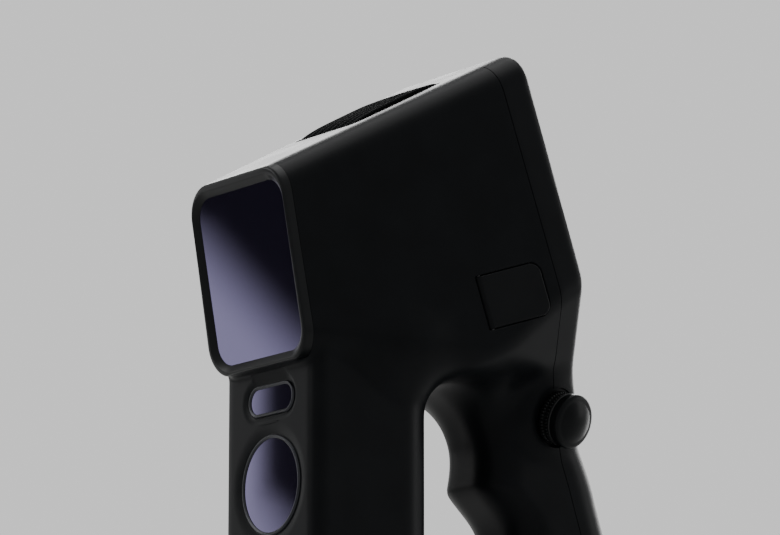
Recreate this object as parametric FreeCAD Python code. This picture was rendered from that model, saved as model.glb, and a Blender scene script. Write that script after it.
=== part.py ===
import FreeCAD, Part
import os
from math import cos, pi, radians, sin, tan

# Handheld structured-light scanner with a pistol grip. Millimetres.
# Row frame: +Z up, -Y is the side that looks at the work, +X is the side with the knob.
# The origin is the mouth of the tripod socket, in the middle of the column's foot.

V = FreeCAD.Vector
X_DIR = V(1, 0, 0)
Y_DIR = V(0, 1, 0)
Z_DIR = V(0, 0, 1)
FAR = 600.0                      # edge of the boxes used as half spaces
REACH = 60.0                     # how far a cutter runs past what it cuts

# ---- driving dimensions -------------------------------------------------------------
WALL = 2.4                       # housing wall
GAP = 0.3                        # gap round a lid, a window or a button

# column: the upright bar that carries the optics
COLUMN_HALF_X = 27.6
COLUMN_HALF_Y = 25.3
COLUMN_FRONT_R = 4.0
COLUMN_REAR_R = 13.0
COLUMN_TOP = 146.0
COLUMN_START = 0.6               # the housing stops short of the desk, the rubber foot does not

# head: a flared block with a flat front, top and rear
HEAD_FRONT_HALF = 28.6
HEAD_FLARE = 0.115               # growth of the half width per millimetre rearwards
FRONT_TOP = V(0, -40.9, 192.1)
FRONT_TILT = radians(10.2)
FRONT_HEIGHT = 65.4
TOP_SLOPE = radians(28.5)
REAR_FOOT = V(0, 80.3, 159.4)
REAR_TILT = radians(18)
HEAD_FLOOR = 128.0
HEAD_EDGE_R = 11.0
HEAD_REAR_R = 2.0
BAND_DEPTH = 12.9                # rear shell, along Y, behind the parting plane
BAND_REAR_HALF = 37.4            # half width where the band meets the rear face
CREASE_DEPTH = BAND_DEPTH - 0.2  # where the band's facets leave the flanks
FUNNEL_FOOT = V(17.8, 79.7, 121.2)   # the flats that draw the head in towards the grip
FUNNEL_OUT = V(0.845, 0.30, -0.44).normalize()

# grip
GRIP_FRONT_R = 12.0
GRIP_REAR_R = 13.0
LEDGE_Z = 94.4                   # sharp finger ledge on the front of the grip
ARCH_Y = 39.3                    # centre of the round top of the hand opening
ARCH_Z = 114.0
ARCH_R = 14.0
WEB_HALF = 15.0                  # the arch between column and grip

# knob
KNOB_BASE = V(18.5, 81.0, 119.7)
KNOB_AXIS = V(0.927, 0.2185, -0.306).normalize()
KNOB_R = 9.35
KNOB_LIFT = 0.9                  # gap under the skirt that the push uses up
KNOB_TOP = 6.9
KNOB_DOME = 3.4
KNOB_RIBS = 48
ENCODER_Z = (-18.0, -9.4)
ENCODER_SIZE = 11.0
BUSH_R = 4.0
BUSH_FLANGE_R = 5.6
PAD_FLOOR = -5.0                 # inner face of the wall under the knob

# windows
BEZEL_DEPTH = 3.6
PILL_Z = 118.1
ROUND_Z = 89.0
LOWER_Z = 40.0

# vent, display, port cover
VENT_Y = 15.0
VENT_SIZE = (36.8, 42.0)
DISPLAY_SIZE = (64.0, 74.0)
PORT_AT = (49.3, 156.0)
PORT_SIZE = (26.0, 18.5)
PORT_LID_T = 1.8
DISPLAY_POCKET = 1.5
PANEL_OPENING = (51.0, 62.0)
HINGE_R = 1.9
PIN_R = 0.8
PIN_PLAY = 0.06                  # radial clearance of a hinge pin in its barrel


# ---- frames and half spaces ------------------------------------------------------------
def frame(origin, out, up=Z_DIR):
    """A local frame: Z points out of a face, Y as near to up as it can."""
    z = V(out).normalize()
    x = V(up).cross(z).normalize()
    y = z.cross(x)
    return FreeCAD.Placement(origin, FreeCAD.Rotation(x, y, z, "ZYX"))


def put(shape, place):
    """A copy of shape moved from the local frame to the row frame."""
    moved = shape.copy()
    moved.Placement = place.multiply(moved.Placement)
    return moved


def beyond(point, out):
    """The half space that lies past a plane, on the side out points to."""
    up = Z_DIR if abs(out.z) < 0.9 else Y_DIR
    block = Part.makeBox(FAR, FAR, FAR, V(-FAR / 2, -FAR / 2, 0))
    return put(block, frame(point, out, up))


FRONT_OUT = V(0, -cos(FRONT_TILT), -sin(FRONT_TILT))
TOP_OUT = V(0, -sin(TOP_SLOPE), cos(TOP_SLOPE))
REAR_OUT = V(0, cos(REAR_TILT), sin(REAR_TILT))
REAR_UP = V(0, -sin(REAR_TILT), cos(REAR_TILT))
KNOB_FACE = frame(KNOB_BASE, KNOB_AXIS)


def rear_y(z):
    """Y of the rear face at height z."""
    return REAR_FOOT.y + (REAR_FOOT.z - z) * tan(REAR_TILT)


def flank_x(y):
    """Half width of the head at y."""
    return HEAD_FRONT_HALF + HEAD_FLARE * (y - front_centre.y)


def top_z(y):
    """Height of the top face at y."""
    return FRONT_TOP.z + tan(TOP_SLOPE) * (y - FRONT_TOP.y)


front_centre = FRONT_TOP + V(0, sin(FRONT_TILT), -cos(FRONT_TILT)) * (FRONT_HEIGHT / 2)
rear_top_z = (top_z(rear_y(0)) / (1 + tan(TOP_SLOPE) * tan(REAR_TILT)))
rear_centre = (REAR_FOOT + V(0, rear_y(rear_top_z), rear_top_z)) * 0.5

FRONT = frame(front_centre, FRONT_OUT)
REAR = frame(rear_centre, REAR_OUT)
TOP = frame(V(0, VENT_Y, top_z(VENT_Y)), TOP_OUT, Y_DIR)
COLUMN_FACE = frame(V(0, -COLUMN_HALF_Y, 0), V(0, -1, 0))
FLANK_OUT = V(1, -HEAD_FLARE, 0).normalize()
PORT = frame(V(flank_x(PORT_AT[0]), PORT_AT[0], PORT_AT[1]), FLANK_OUT, REAR_UP)
SEAM_POINT = V(0, rear_y(0) - BAND_DEPTH, 0)
SEAM_LOCAL = -BAND_DEPTH * cos(REAR_TILT)        # the parting plane in the REAR frame


# ---- simple solids, all built in a local frame --------------------------------------------
def rounded_polygon(points, radii, z):
    """A closed outline at height z, with an arc of radii[i] in place of corner i."""
    arcs = []
    for index, (x, y) in enumerate(points):
        corner = V(x, y, z)
        before = (V(*points[index - 1], z) - corner).normalize()
        after = (V(*points[(index + 1) % len(points)], z) - corner).normalize()
        half = before.getAngle(after) / 2
        reach = radii[index] / tan(half)
        centre = corner + (before + after).normalize() * (radii[index] / sin(half))
        middle = centre + (corner - centre).normalize() * radii[index]
        arcs.append((corner + before * reach, middle, corner + after * reach))
    edges = []
    for index, (start, middle, end) in enumerate(arcs):
        edges.append(Part.Arc(start, middle, end).toShape())
        edges.append(Part.LineSegment(end, arcs[(index + 1) % len(arcs)][0]).toShape())
    return Part.Wire(edges)


def rounded_wire(x0, x1, y0, y1, r_low, r_high, z):
    """A rounded rectangle; r_low rounds the corners at y0 and r_high those at y1."""
    points = [(x1, y0), (x1, y1), (x0, y1), (x0, y0)]
    return rounded_polygon(points, [r_low, r_high, r_high, r_low], z)


def slab(width, height, r, z0, z1, x=0.0, y=0.0):
    """A rounded rectangular block centred on x, y."""
    wire = rounded_wire(x - width / 2, x + width / 2, y - height / 2, y + height / 2, r, r, z0)
    return Part.Face(wire).extrude(V(0, 0, z1 - z0))


def taper(size0, z0, size1, z1):
    """A block whose rounded rectangle changes from size0 to size1, each (width, height, r)."""
    wires = []
    for (width, height, r), z in ((size0, z0), (size1, z1)):
        wires.append(rounded_wire(-width / 2, width / 2, -height / 2, height / 2, r, r, z))
    return Part.makeLoft(wires, True, True)


def disc(r, z0, z1, x=0.0, y=0.0):
    return Part.makeCylinder(r, z1 - z0, V(x, y, z0))


def ring(r_out, r_in, z0, z1, x=0.0, y=0.0):
    return disc(r_out, z0, z1, x, y).cut(disc(r_in, z0 - 1, z1 + 1, x, y))


def turned(points):
    """A solid of revolution about local Z from (radius, height) points."""
    line = [V(r, 0, z) for r, z in points]
    wire = Part.makePolygon(line + [line[0]])
    return Part.Face(wire).revolve(V(0, 0, 0), Z_DIR, 360)


def dome(r, rise, z, x=0.0, y=0.0):
    """A spherical cap of foot radius r that stands on height z."""
    ball_r = (r * r + rise * rise) / (2 * rise)
    ball = Part.makeSphere(ball_r, V(x, y, z + rise - ball_r))
    return ball.common(disc(r + 1, z, z + rise + 1, x, y))


def fuse_all(shapes):
    return shapes[0].fuse(shapes[1:]).removeSplitter()


def cut_all(shape, tools):
    return shape.cut(Part.makeCompound(tools))


parts = {}


def save(name, shape):
    """Keep a node; a compound of one solid is kept as that solid."""
    solids = shape.Solids
    parts[name] = solids[0] if len(solids) == 1 else Part.makeCompound(solids)


# ---- outer form of the housing -----------------------------------------------------------
def facing(face, test):
    return test(face.normalAt(0, 0))


def is_flank(n):
    return abs(n.x) > 0.97


def is_top(n):
    return n.z > 0.8


def is_floor(n):
    return n.z < -0.99


def is_rear(n):
    return n.y > 0.9


def is_funnel(n):
    return 0.7 < abs(n.x) < 0.9 and n.z < -0.3


def edges_between(shape, first, second):
    """The edges where a face of one kind meets a face of another kind."""
    found = []
    for edge in shape.Edges:
        faces = shape.ancestorsOfType(edge, Part.Face)
        if len(faces) != 2:
            continue
        if facing(faces[0], first) and facing(faces[1], second):
            found.append(edge)
        elif facing(faces[0], second) and facing(faces[1], first):
            found.append(edge)
    return found


def head_planes():
    """Point and outward normal of every flat of the head."""
    planes = [(FRONT_TOP, FRONT_OUT), (FRONT_TOP, TOP_OUT), (REAR_FOOT, REAR_OUT)]
    planes.append((V(0, 0, HEAD_FLOOR), V(0, 0, -1)))
    for side in (1, -1):
        planes.append((V(side * HEAD_FRONT_HALF, front_centre.y, 0), V(side, -HEAD_FLARE, 0).normalize()))
        funnel_foot = V(side * FUNNEL_FOOT.x, FUNNEL_FOOT.y, FUNNEL_FOOT.z)
        planes.append((funnel_foot, V(side * FUNNEL_OUT.x, FUNNEL_OUT.y, FUNNEL_OUT.z)))
        crease_y = [rear_y(z) - CREASE_DEPTH for z in (230.0, 160.0)]
        crease = [V(side * flank_x(y), y, z) for y, z in zip(crease_y, (230.0, 160.0))]
        rear_edge = V(side * BAND_REAR_HALF, rear_y(200.0), 200.0)
        out = (crease[1] - crease[0]).cross(rear_edge - crease[0]).normalize()
        planes.append((crease[0], out if out.x * side > 0 else out * -1))
    return planes


def head(inset=0.0):
    """The head block, every flat moved inwards by inset."""
    block = Part.makeBox(200, 300, 300, V(-100, -100, 0))
    for point, out in head_planes():
        block = block.cut(beyond(point - out * inset, out))
    long_edges = edges_between(block, is_flank, is_top) + edges_between(block, is_flank, is_floor)
    long_edges += edges_between(block, is_flank, is_funnel) + edges_between(block, is_funnel, is_floor)
    block = block.makeFillet(HEAD_EDGE_R - inset, long_edges)
    if inset == 0.0:
        block = block.makeFillet(HEAD_REAR_R, edges_between(block, is_rear, is_top))
    return block


def column(inset=0.0, z0=COLUMN_START, z1=COLUMN_TOP):
    wire = rounded_wire(
        inset - COLUMN_HALF_X, COLUMN_HALF_X - inset, inset - COLUMN_HALF_Y, COLUMN_HALF_Y - inset,
        max(COLUMN_FRONT_R - inset, 1.0), COLUMN_REAR_R - inset, z0)
    return Part.Face(wire).extrude(V(0, 0, z1 - z0))


# height, half width at the front and at the rear of the column where it swells into the head
SHOULDER = [
    (108.0, 27.6, 27.6), (116.0, 27.6, 27.6), (124.0, 27.9, 28.6), (133.0, 28.9, 32.0), (144.0, 29.6, 34.9)]


def shoulder():
    """The swelling that carries the column's sides out to the head's flanks."""
    wires = []
    for z, front, rear in SHOULDER:
        y = COLUMN_HALF_Y
        points = [(front, -y), (rear, y), (-rear, y), (-front, -y)]
        radii = [COLUMN_FRONT_R, COLUMN_REAR_R, COLUMN_REAR_R, COLUMN_FRONT_R]
        wires.append(rounded_polygon(points, radii, z))
    return Part.makeLoft(wires, True, False)


# height, front Y, rear Y, half width of the grip's level sections
GRIP_SHAFT = [
    (0.0, 90.5, 131.3, 17.9), (30.0, 81.7, 122.7, 17.5), (54.0, 75.0, 116.3, 17.5), (78.0, 68.4, 109.8, 17.5)]
GRIP_LEDGE = [
    GRIP_SHAFT[-1], (84.0, 65.2, 108.0, 17.5), (89.6, 59.6, 106.2, 17.5), (LEDGE_Z, 55.0, 104.8, 17.6)]
GRIP_SCOOP = [
    GRIP_LEDGE[-1], (100.0, 56.0, 103.0, 17.4), (107.0, 56.0, 100.4, 16.9), (114.0, 53.4, 97.6, 16.2)]
GRIP_NECK = [GRIP_SCOOP[-1], (126.0, 48.0, 92.4, 15.6), (138.0, 44.0, 86.6, 15.6)]


def grip_stretch(sections, inset, straight):
    wires = []
    for z, front, rear, half in sections:
        wires.append(rounded_wire(
            inset - half, half - inset, front + inset, rear - inset,
            GRIP_FRONT_R - inset, GRIP_REAR_R - inset, z))
    return Part.makeLoft(wires, True, straight)


def grip(inset=0.0):
    stretches = [
        grip_stretch(GRIP_SHAFT, inset, False), grip_stretch(GRIP_LEDGE, inset, False),
        grip_stretch(GRIP_SCOOP, inset, False), grip_stretch(GRIP_NECK, inset, True)]
    return fuse_all(stretches)


def outer_form():
    """Head, column and grip as one solid with the round-topped hand opening."""
    web = Part.makeBox(2 * WEB_HALF, 56, 20.4, V(-WEB_HALF, 10, ARCH_Z - 1.4))
    arch = Part.makeCylinder(ARCH_R, 2 * REACH, V(-REACH, ARCH_Y, ARCH_Z), X_DIR)
    pad = put(Part.makeCone(13.0, KNOB_R + 1.6, 5.0, V(0, 0, -5.0)), KNOB_FACE)
    seat = put(disc(KNOB_R + 1.0, 0, REACH), KNOB_FACE)
    form = head()
    for piece in (column(), shoulder(), web, grip(), pad):
        form = form.fuse(piece)
    return cut_all(form.removeSplitter(), [arch, seat])


def inner_form():
    """The hollow inside the housing."""
    front_wall = beyond(FRONT_TOP - FRONT_OUT * (BEZEL_DEPTH + WALL), FRONT_OUT)
    return fuse_all([head(WALL).cut(front_wall), column(WALL, z0=-1.0), grip(WALL)])


# ---- housing shells --------------------------------------------------------------------------
def stadium_wire(straight, r, z, y=0.0):
    """Two half circles joined by straight lines of the given length."""
    half = straight / 2
    right = Part.Arc(V(half, y - r, z), V(half + r, y, z), V(half, y + r, z)).toShape()
    left = Part.Arc(V(-half, y + r, z), V(-half - r, y, z), V(-half, y - r, z)).toShape()
    upper = Part.LineSegment(V(half, y + r, z), V(-half, y + r, z)).toShape()
    lower = Part.LineSegment(V(-half, y - r, z), V(half, y - r, z)).toShape()
    return Part.Wire([right, upper, left, lower])


def stadium(straight, r, z0, z1, y=0.0):
    """A round or long-round block; straight is the length between the half circles."""
    if straight == 0.0:
        return disc(r, z0, z1, 0.0, y)
    return Part.Face(stadium_wire(straight, r, z0, y)).extrude(V(0, 0, z1 - z0))


def dish(straight, r, y):
    """A shallow sunk surround in the column's face, wider at the front."""
    floor_r = r + DISH_FLOOR
    rim_r = floor_r + DISH_FLARE
    overshoot = 0.4
    rim_r += (rim_r - floor_r) * overshoot / DISH_DEPTH
    if straight == 0.0:
        return Part.makeCone(floor_r, rim_r, DISH_DEPTH + overshoot, V(0, y, -DISH_DEPTH))
    wires = [stadium_wire(straight, floor_r, -DISH_DEPTH, y), stadium_wire(straight, rim_r, overshoot, y)]
    return Part.makeLoft(wires, True, True)


# windows of the column: height, straight length between the round ends, radius of the hole
PILL = (PILL_Z, 16.0, 4.9)
ROUND = (ROUND_Z, 0.0, 16.6)
LOWER = (LOWER_Z, 0.0, 12.4)
COLUMN_WINDOWS = {"pill": PILL, "projector": ROUND, "lower": LOWER}
DISH_DEPTH = 1.1
DISH_FLOOR = 0.9                 # flat floor round the trim ring's seat
DISH_FLARE = 4.4
LENS_FLANGE = 0.9


def window_cutters():
    tools = []
    for z, straight, r in COLUMN_WINDOWS.values():
        tools.append(dish(straight, r, z))
        tools.append(stadium(straight, r, -WALL - 3.0, 1.0, z))
    return [put(tool, COLUMN_FACE) for tool in tools]


def window_bosses():
    """Thicker wall behind each window of the column."""
    bosses = []
    for z, straight, r in COLUMN_WINDOWS.values():
        bosses.append(stadium(straight, r + 1.6, -WALL - 1.6, -WALL + 0.4, z))
    return [put(boss, COLUMN_FACE) for boss in bosses]


SCREW_HEAD_R = 2.2
SCREW_HEAD_H = 1.6
SHANK_R = 1.04
PILOT_R = 1.05
CLEAR_R = 1.45                   # clearance hole in the piece that a screw holds
POST_R = 3.2
SHELL_SCREW_LENGTH = 12.0
SHELL_HEAD_Z = -3.1              # seat of the heads hidden under the display glass, REAR frame
GRIP_SCREW_LENGTH = 18.0
GRIP_HEAD_Z = 11.0               # seat of the grip screws' heads above the parting plane
GUSSET_HEIGHT = 9.0
GUSSET_DEPTH = 8.0               # forward of the parting plane
# screws that close the rear shell: x and y in the REAR frame
SHELL_SCREWS = [(sx * 29.4, sy * 35.2) for sx in (1, -1) for sy in (1, -1)]
# two more in the grip, with x and the height at which they leave the main shell
GRIP_SCREWS = [(sx * 8.6, 100.0) for sx in (1, -1)]


def grip_screw_place(x, z):
    return frame(V(x, rear_y(z) - BAND_DEPTH, z), REAR_OUT)


def side_block(x, y, reach, height, top):
    """A block from a screw's inner side out to a side wall, its top at local height top."""
    inner = abs(x) - POST_R - 0.4
    block = Part.makeBox(reach - inner, height, GUSSET_DEPTH, V(inner, y - height / 2, top - GUSSET_DEPTH))
    return block.mirror(V(0, 0, 0), X_DIR) if x < 0 else block


def shell_gussets():
    """Blocks on the main shell that the rear shell's screws bite into."""
    blocks = []
    for x, y in SHELL_SCREWS:
        blocks.append(put(side_block(x, y, 40.0, GUSSET_HEIGHT, SEAM_LOCAL), REAR))
    for x, z in GRIP_SCREWS:
        blocks.append(put(side_block(x, 0.0, 17.0, GUSSET_HEIGHT - 2, 0.0), grip_screw_place(0, z)))
    return blocks


def shell_posts():
    """Tubes on the rear shell that carry its screws, and pegs for the button's board."""
    posts = [put(disc(POST_R, SEAM_LOCAL, -WALL + 0.2, x, y), REAR) for x, y in SHELL_SCREWS]
    posts += [put(disc(POST_R, 0.0, 14.4), grip_screw_place(x, z)) for x, z in GRIP_SCREWS]
    for sx in (1, -1):
        for sy in (1, -1):
            posts.append(put(disc(1.3, SWITCH_TOP, -WALL + 0.2, sx * 6.6, BUTTON_Y + sy * 6.6), REAR))
    return posts


BOARD_POSTS = [(sx * 24.6, y) for sx in (1, -1) for y in (-19.5, 25.5)]
BOARD_Z = -27.0                  # top of the main board below the top face
BOARD_T = 1.6
BOARD_POST_R = 2.9
BOARD_PILOT_R = 0.9

# the optical frame's four screws: x and height, with bosses on the column's rear wall
FRAME_SCREWS = [(sx * x, z) for x, z in ((11.0, 19.0), (14.2, 118.0)) for sx in (1, -1)]
FRAME_FRONT = -31.0              # front face of the frame in the COLUMN_FACE frame
FRAME_T = 3.0


def inside_posts():
    """Posts of the main board under the top wall and of the optical frame on the column's rear wall."""
    posts = [put(disc(BOARD_POST_R, BOARD_Z, -WALL + 0.3, x, y), TOP) for x, y in BOARD_POSTS]
    wall = -2 * COLUMN_HALF_Y + WALL - 0.4
    posts += [put(disc(POST_R, wall, FRAME_FRONT - FRAME_T, x, z), COLUMN_FACE) for x, z in FRAME_SCREWS]
    return posts


def port_tub():
    """Block on the inside of the flank that the port's recess is cut into."""
    width, height = PORT_SIZE
    return put(slab(width + 4.4, height + 4.4, 5.0, -6.8, -1.2), PORT)


def port_outline(grow, z0, z1):
    """The cover seen from outside: round corners behind, square ones along its hinge."""
    half_x = PORT_SIZE[0] / 2 + grow
    half_y = PORT_SIZE[1] / 2 + grow
    points = [(half_x, -half_y), (half_x, half_y), (-half_x, half_y), (-half_x, -half_y)]
    wire = rounded_polygon(points, [4.0 + grow, 4.0 + grow, 0.4, 0.4], z0)
    return Part.Face(wire).extrude(V(0, 0, z1 - z0))


PORT_HINGE = frame(V(HINGE_R - PORT_SIZE[0] / 2, 0, -HINGE_R), Y_DIR, Z_DIR)
PORT_PIN_HALF = 10.9
SOCKET_Z = (-10.6, -4.4)
USB_X = 2.2
USB_SHELL = (8.9, 3.2, 1.55)
JACK_X = -6.0
JACK_R = 3.0


def port_cutters():
    pocket = port_outline(GAP, -5.2, 6.0)
    usb = slab(*USB_SHELL, -9.0, 0.0, USB_X, 0.0)
    jack = disc(JACK_R, -9.0, 0.0, JACK_X, 0.0)
    pin = put(disc(PIN_R, -PORT_PIN_HALF, PORT_PIN_HALF), PORT_HINGE)
    return [put(tool, PORT) for tool in (pocket, usb, jack, pin)]


BUTTON_Y = -(rear_centre - REAR_FOOT).Length - 8.6
BUTTON_R = 5.5


SWITCH_TOP = -7.0                # button board under the power button, REAR frame
GRIP_END_TOP = 6.0               # the collar that closes the grip ends here
FRONT_OPENING = (48.6, 55.6, 7.0)
KNOB_ZONE_R = KNOB_R + 0.9       # round the knob the parting line steps back


def front_slice():
    """The slice of the head's front that belongs to the bezel."""
    return put(slab(80, FRONT_HEIGHT + 19, 2.0, -BEZEL_DEPTH, 30.0, 0.0, 10.0), FRONT)


def build_housing():
    form = outer_form()
    pad = put(disc(KNOB_R + 2.6, PAD_FLOOR, 0.0), KNOB_FACE)
    grip_end = Part.makeBox(80, 80, GRIP_END_TOP + 1, V(-40, 60, -1))
    shell = form.cut(inner_form().cut(pad)).cut(front_slice())
    knob_zone = put(disc(KNOB_ZONE_R, -14.0, REACH), KNOB_FACE)
    rear = shell.common(beyond(SEAM_POINT, REAR_OUT)).cut(knob_zone)
    main = shell.cut(rear).cut(grip_end)
    for piece in window_bosses() + inside_posts() + [port_tub()] + shell_gussets():
        main = main.fuse(piece.common(form))
    main = cut_all(main, window_cutters() + port_cutters() + main_openings())
    save("main_housing", cut_all(main, screw_pilots()))
    rear = rear.cut(grip_end).fuse(shell_posts()).removeSplitter()
    save("rear_housing", cut_all(rear, rear_openings()))


def main_openings():
    """Front opening of the head, vent, and the seats of the knob's bush and encoder."""
    front = put(slab(*FRONT_OPENING, -BEZEL_DEPTH - WALL - 1.0, 0.0), FRONT)
    vent = put(slab(*VENT_SIZE, 2.4, -WALL - 1.0, 5.0), TOP)
    bush = disc(BUSH_R, -12.0, 1.0).fuse(disc(BUSH_FLANGE_R, PAD_FLOOR - 1.6, PAD_FLOOR))
    encoder = slab(ENCODER_SIZE, ENCODER_SIZE, 1.0, *ENCODER_Z)
    return [front, vent, put(bush.fuse(encoder), KNOB_FACE)]


def screw_pilots():
    bite = -GUSSET_DEPTH - 1
    pilots = [put(disc(PILOT_R, SEAM_LOCAL + bite, SEAM_LOCAL + 1, x, y), REAR) for x, y in SHELL_SCREWS]
    pilots += [put(disc(PILOT_R, bite, 1.0), grip_screw_place(x, z)) for x, z in GRIP_SCREWS]
    pilots += [put(disc(BOARD_PILOT_R, BOARD_Z - 1.0, BOARD_Z + 8.0, x, y), TOP) for x, y in BOARD_POSTS]
    bite = FRAME_FRONT - 14.0
    pilots += [put(disc(PILOT_R, bite, FRAME_FRONT, x, z), COLUMN_FACE) for x, z in FRAME_SCREWS]
    return pilots


def rear_openings():
    """Display pocket and opening, button hole, clearance holes of the screws."""
    width, height = DISPLAY_SIZE
    pocket = slab(width + 2 * GAP, height + 2 * GAP, 5.2, -DISPLAY_POCKET, 3.0)
    opening = slab(*PANEL_OPENING, 2.0, -WALL - 1.0, 0.0)
    button = disc(BUTTON_R + 0.1, -WALL - 1.0, 3.0, 0.0, BUTTON_Y)
    local = [pocket, opening, button]
    for x, y in SHELL_SCREWS:
        local.append(disc(CLEAR_R, SEAM_LOCAL - 1, 0.0, x, y))
        local.append(disc(SCREW_HEAD_R + 0.2, SHELL_HEAD_Z, 0.0, x, y))
    tools = [put(tool, REAR) for tool in local]
    for x, z in GRIP_SCREWS:
        tools.append(put(disc(CLEAR_R, -1.0, REACH), grip_screw_place(x, z)))
        tools.append(put(disc(SCREW_HEAD_R + 0.25, GRIP_HEAD_Z, REACH), grip_screw_place(x, z)))
    return tools


def screw(x, y, seat, length, head_r=SCREW_HEAD_R, shank_r=SHANK_R):
    """A cap screw whose head stands on local height seat and whose shank points down."""
    blank = disc(head_r, seat, seat + SCREW_HEAD_H, x, y).fuse(disc(shank_r, seat - length, seat, x, y))
    return blank.cut(hex_socket(head_r * 0.56, seat + 0.6, seat + SCREW_HEAD_H + 1, x, y))


def build_screws():
    screws = [put(screw(x, y, SHELL_HEAD_Z, SHELL_SCREW_LENGTH), REAR) for x, y in SHELL_SCREWS]
    for x, z in GRIP_SCREWS:
        screws.append(put(screw(0, 0, GRIP_HEAD_Z, GRIP_SCREW_LENGTH), grip_screw_place(x, z)))
    save("housing_screws", Part.makeCompound(screws))
    screws = [put(screw(x, z, FRAME_FRONT, 12.0), COLUMN_FACE) for x, z in FRAME_SCREWS]
    save("frame_screws", Part.makeCompound(screws))
    under = frame(TOP.multVec(V(0, 0, BOARD_Z - BOARD_T)), TOP_OUT * -1, Y_DIR)
    screws = [put(screw(-x, y, 0.0, 6.0, 2.0, 0.88), under) for x, y in BOARD_POSTS]
    save("board_screws", Part.makeCompound(screws))


def hex_socket(r, z0, z1, x=0.0, y=0.0):
    points = [V(x + r * cos(k * pi / 3), y + r * sin(k * pi / 3), z0) for k in range(7)]
    return Part.Face(Part.makePolygon(points)).extrude(V(0, 0, z1 - z0))


# ---- front of the head ------------------------------------------------------------------------
GLASS = (52.6, 59.8, 8.6)
GLASS_TOP = -1.7
GLASS_T = 1.1


def grown(size, by):
    return (size[0] + 2 * by, size[1] + 2 * by, size[2] + by)


def build_bezel():
    """Rim of the head, cut from the same block as the housing, with its glass and gasket."""
    mouth = taper(grown(GLASS, -1.1), GLASS_TOP, grown(GLASS, 0.4), 0.01)
    seat = slab(GLASS[0] + 0.1, GLASS[1] + 0.1, GLASS[2], -BEZEL_DEPTH - 1.0, GLASS_TOP)
    save("front_bezel", cut_all(head().common(front_slice()), [put(mouth, FRONT), put(seat, FRONT)]))
    save("upper_window", put(slab(*GLASS, GLASS_TOP - GLASS_T, GLASS_TOP), FRONT))
    foam = slab(*GLASS, -BEZEL_DEPTH, GLASS_TOP - GLASS_T).cut(slab(*FRONT_OPENING, -9.0, 0.0))
    save("window_gasket", put(foam, FRONT))


LED_CIRCLE = 19.8                # radius of the ring of lamps round the upper camera
LED_R = 5.7
LED_COUNT = 6
LED_BOARD_Z = -14.0
UPPER_BARREL_R = 10.6
UPPER_BARREL_Z = (-30.0, -7.2)
UPPER_CAMERA_REAR = -44.0


def build_upper_camera():
    low, high = UPPER_BARREL_Z
    hole = disc(UPPER_BARREL_R, low, high)
    save("led_board", put(slab(49.0, 56.0, 8.0, LED_BOARD_Z - 1.6, LED_BOARD_Z).cut(hole), FRONT))
    lenses = []
    for k in range(LED_COUNT):
        angle = 2 * pi * (k + 0.5) / LED_COUNT
        x = LED_CIRCLE * cos(angle)
        y = LED_CIRCLE * sin(angle)
        foot = disc(LED_R, LED_BOARD_Z, LED_BOARD_Z + 4.0, x, y)
        lenses.append(foot.fuse(dome(LED_R, 1.8, LED_BOARD_Z + 4.0, x, y)))
    save("led_lenses", put(Part.makeCompound(lenses), FRONT))
    outer = [(9.2, high), (UPPER_BARREL_R, high), (UPPER_BARREL_R, low), (5.0, low)]
    save("upper_lens_barrel", put(turned(outer + [(5.0, -13.0), (7.0, -13.0)]), FRONT))
    save("upper_camera_lens", put(disc(6.9, -12.9, -11.4).fuse(dome(6.9, 2.2, -11.4)), FRONT))
    save("upper_camera", put(slab(32.0, 32.0, 3.0, UPPER_CAMERA_REAR, low), FRONT))


# ---- optics in the column -------------------------------------------------------------------------
WINDOW_STEP = 1.1                # ledge of the trim ring in front of the window
BARREL_FRONT = -WALL - 2.4
MODULE_FRONT = -20.0
# lens barrels behind the round windows: height, outer radius, lens radius, module's width and height
BARRELS = {"projector": (ROUND_Z, 15.0, 11.5, 44.0, 38.0), "lower_camera": (LOWER_Z, 10.6, 7.5, 32.0, 32.0)}


def build_column_windows():
    for name, (z, straight, r) in COLUMN_WINDOWS.items():
        bore = r - WINDOW_STEP
        body = stadium(straight, r, -WALL - 1.6, -DISH_DEPTH, z)
        flange = stadium(straight, r + 0.6, -DISH_DEPTH, -DISH_DEPTH + LENS_FLANGE, z)
        hole = stadium(straight, bore, -9.0, 1.0, z)
        seat = stadium(straight, bore + 0.5, -9.0, -DISH_DEPTH + 0.2, z)
        save(name + "_trim", put(cut_all(body.fuse(flange), [hole, seat]), COLUMN_FACE))
        glass = stadium(straight, bore + 0.45, -DISH_DEPTH - 1.0, -DISH_DEPTH + 0.2, z)
        save(name + "_window", put(glass, COLUMN_FACE))


def build_column_optics():
    """Lens barrel, lens and module behind each round window, and the sensor behind the long one."""
    for name, (z, barrel_r, lens_r, width, height) in BARRELS.items():
        throat = lens_r - 3.0
        step = BARREL_FRONT - 6.0
        mouth = [(lens_r + 1.2, BARREL_FRONT), (barrel_r, BARREL_FRONT), (barrel_r, MODULE_FRONT)]
        barrel = turned(mouth + [(throat, MODULE_FRONT), (throat, step), (lens_r, step)])
        save(name + "_barrel", put(barrel.translated(V(0, z, 0)), COLUMN_FACE))
        glass_r = lens_r - 0.1
        lens = disc(glass_r, step, step + 2.0, 0, z).fuse(dome(glass_r, 2.4, step + 2.0, 0, z))
        save(name + "_lens", put(lens, COLUMN_FACE))
        save(name + "_module", put(slab(width, height, 3.0, FRAME_FRONT, MODULE_FRONT, 0, z), COLUMN_FACE))
    nose = slab(21.0, 8.4, 2.0, -14.0, BARREL_FRONT, 0, PILL_Z)
    save("laser_sensor", put(nose.fuse(slab(22.0, 14.0, 1.0, FRAME_FRONT, -14.0, 0, PILL_Z)), COLUMN_FACE))


FRAME_HALF = 17.0
FRAME_ENDS = (14.0, 150.0)
HEAD_PAD_HALF = 15.0             # half height of the pad that carries the upper camera


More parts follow.
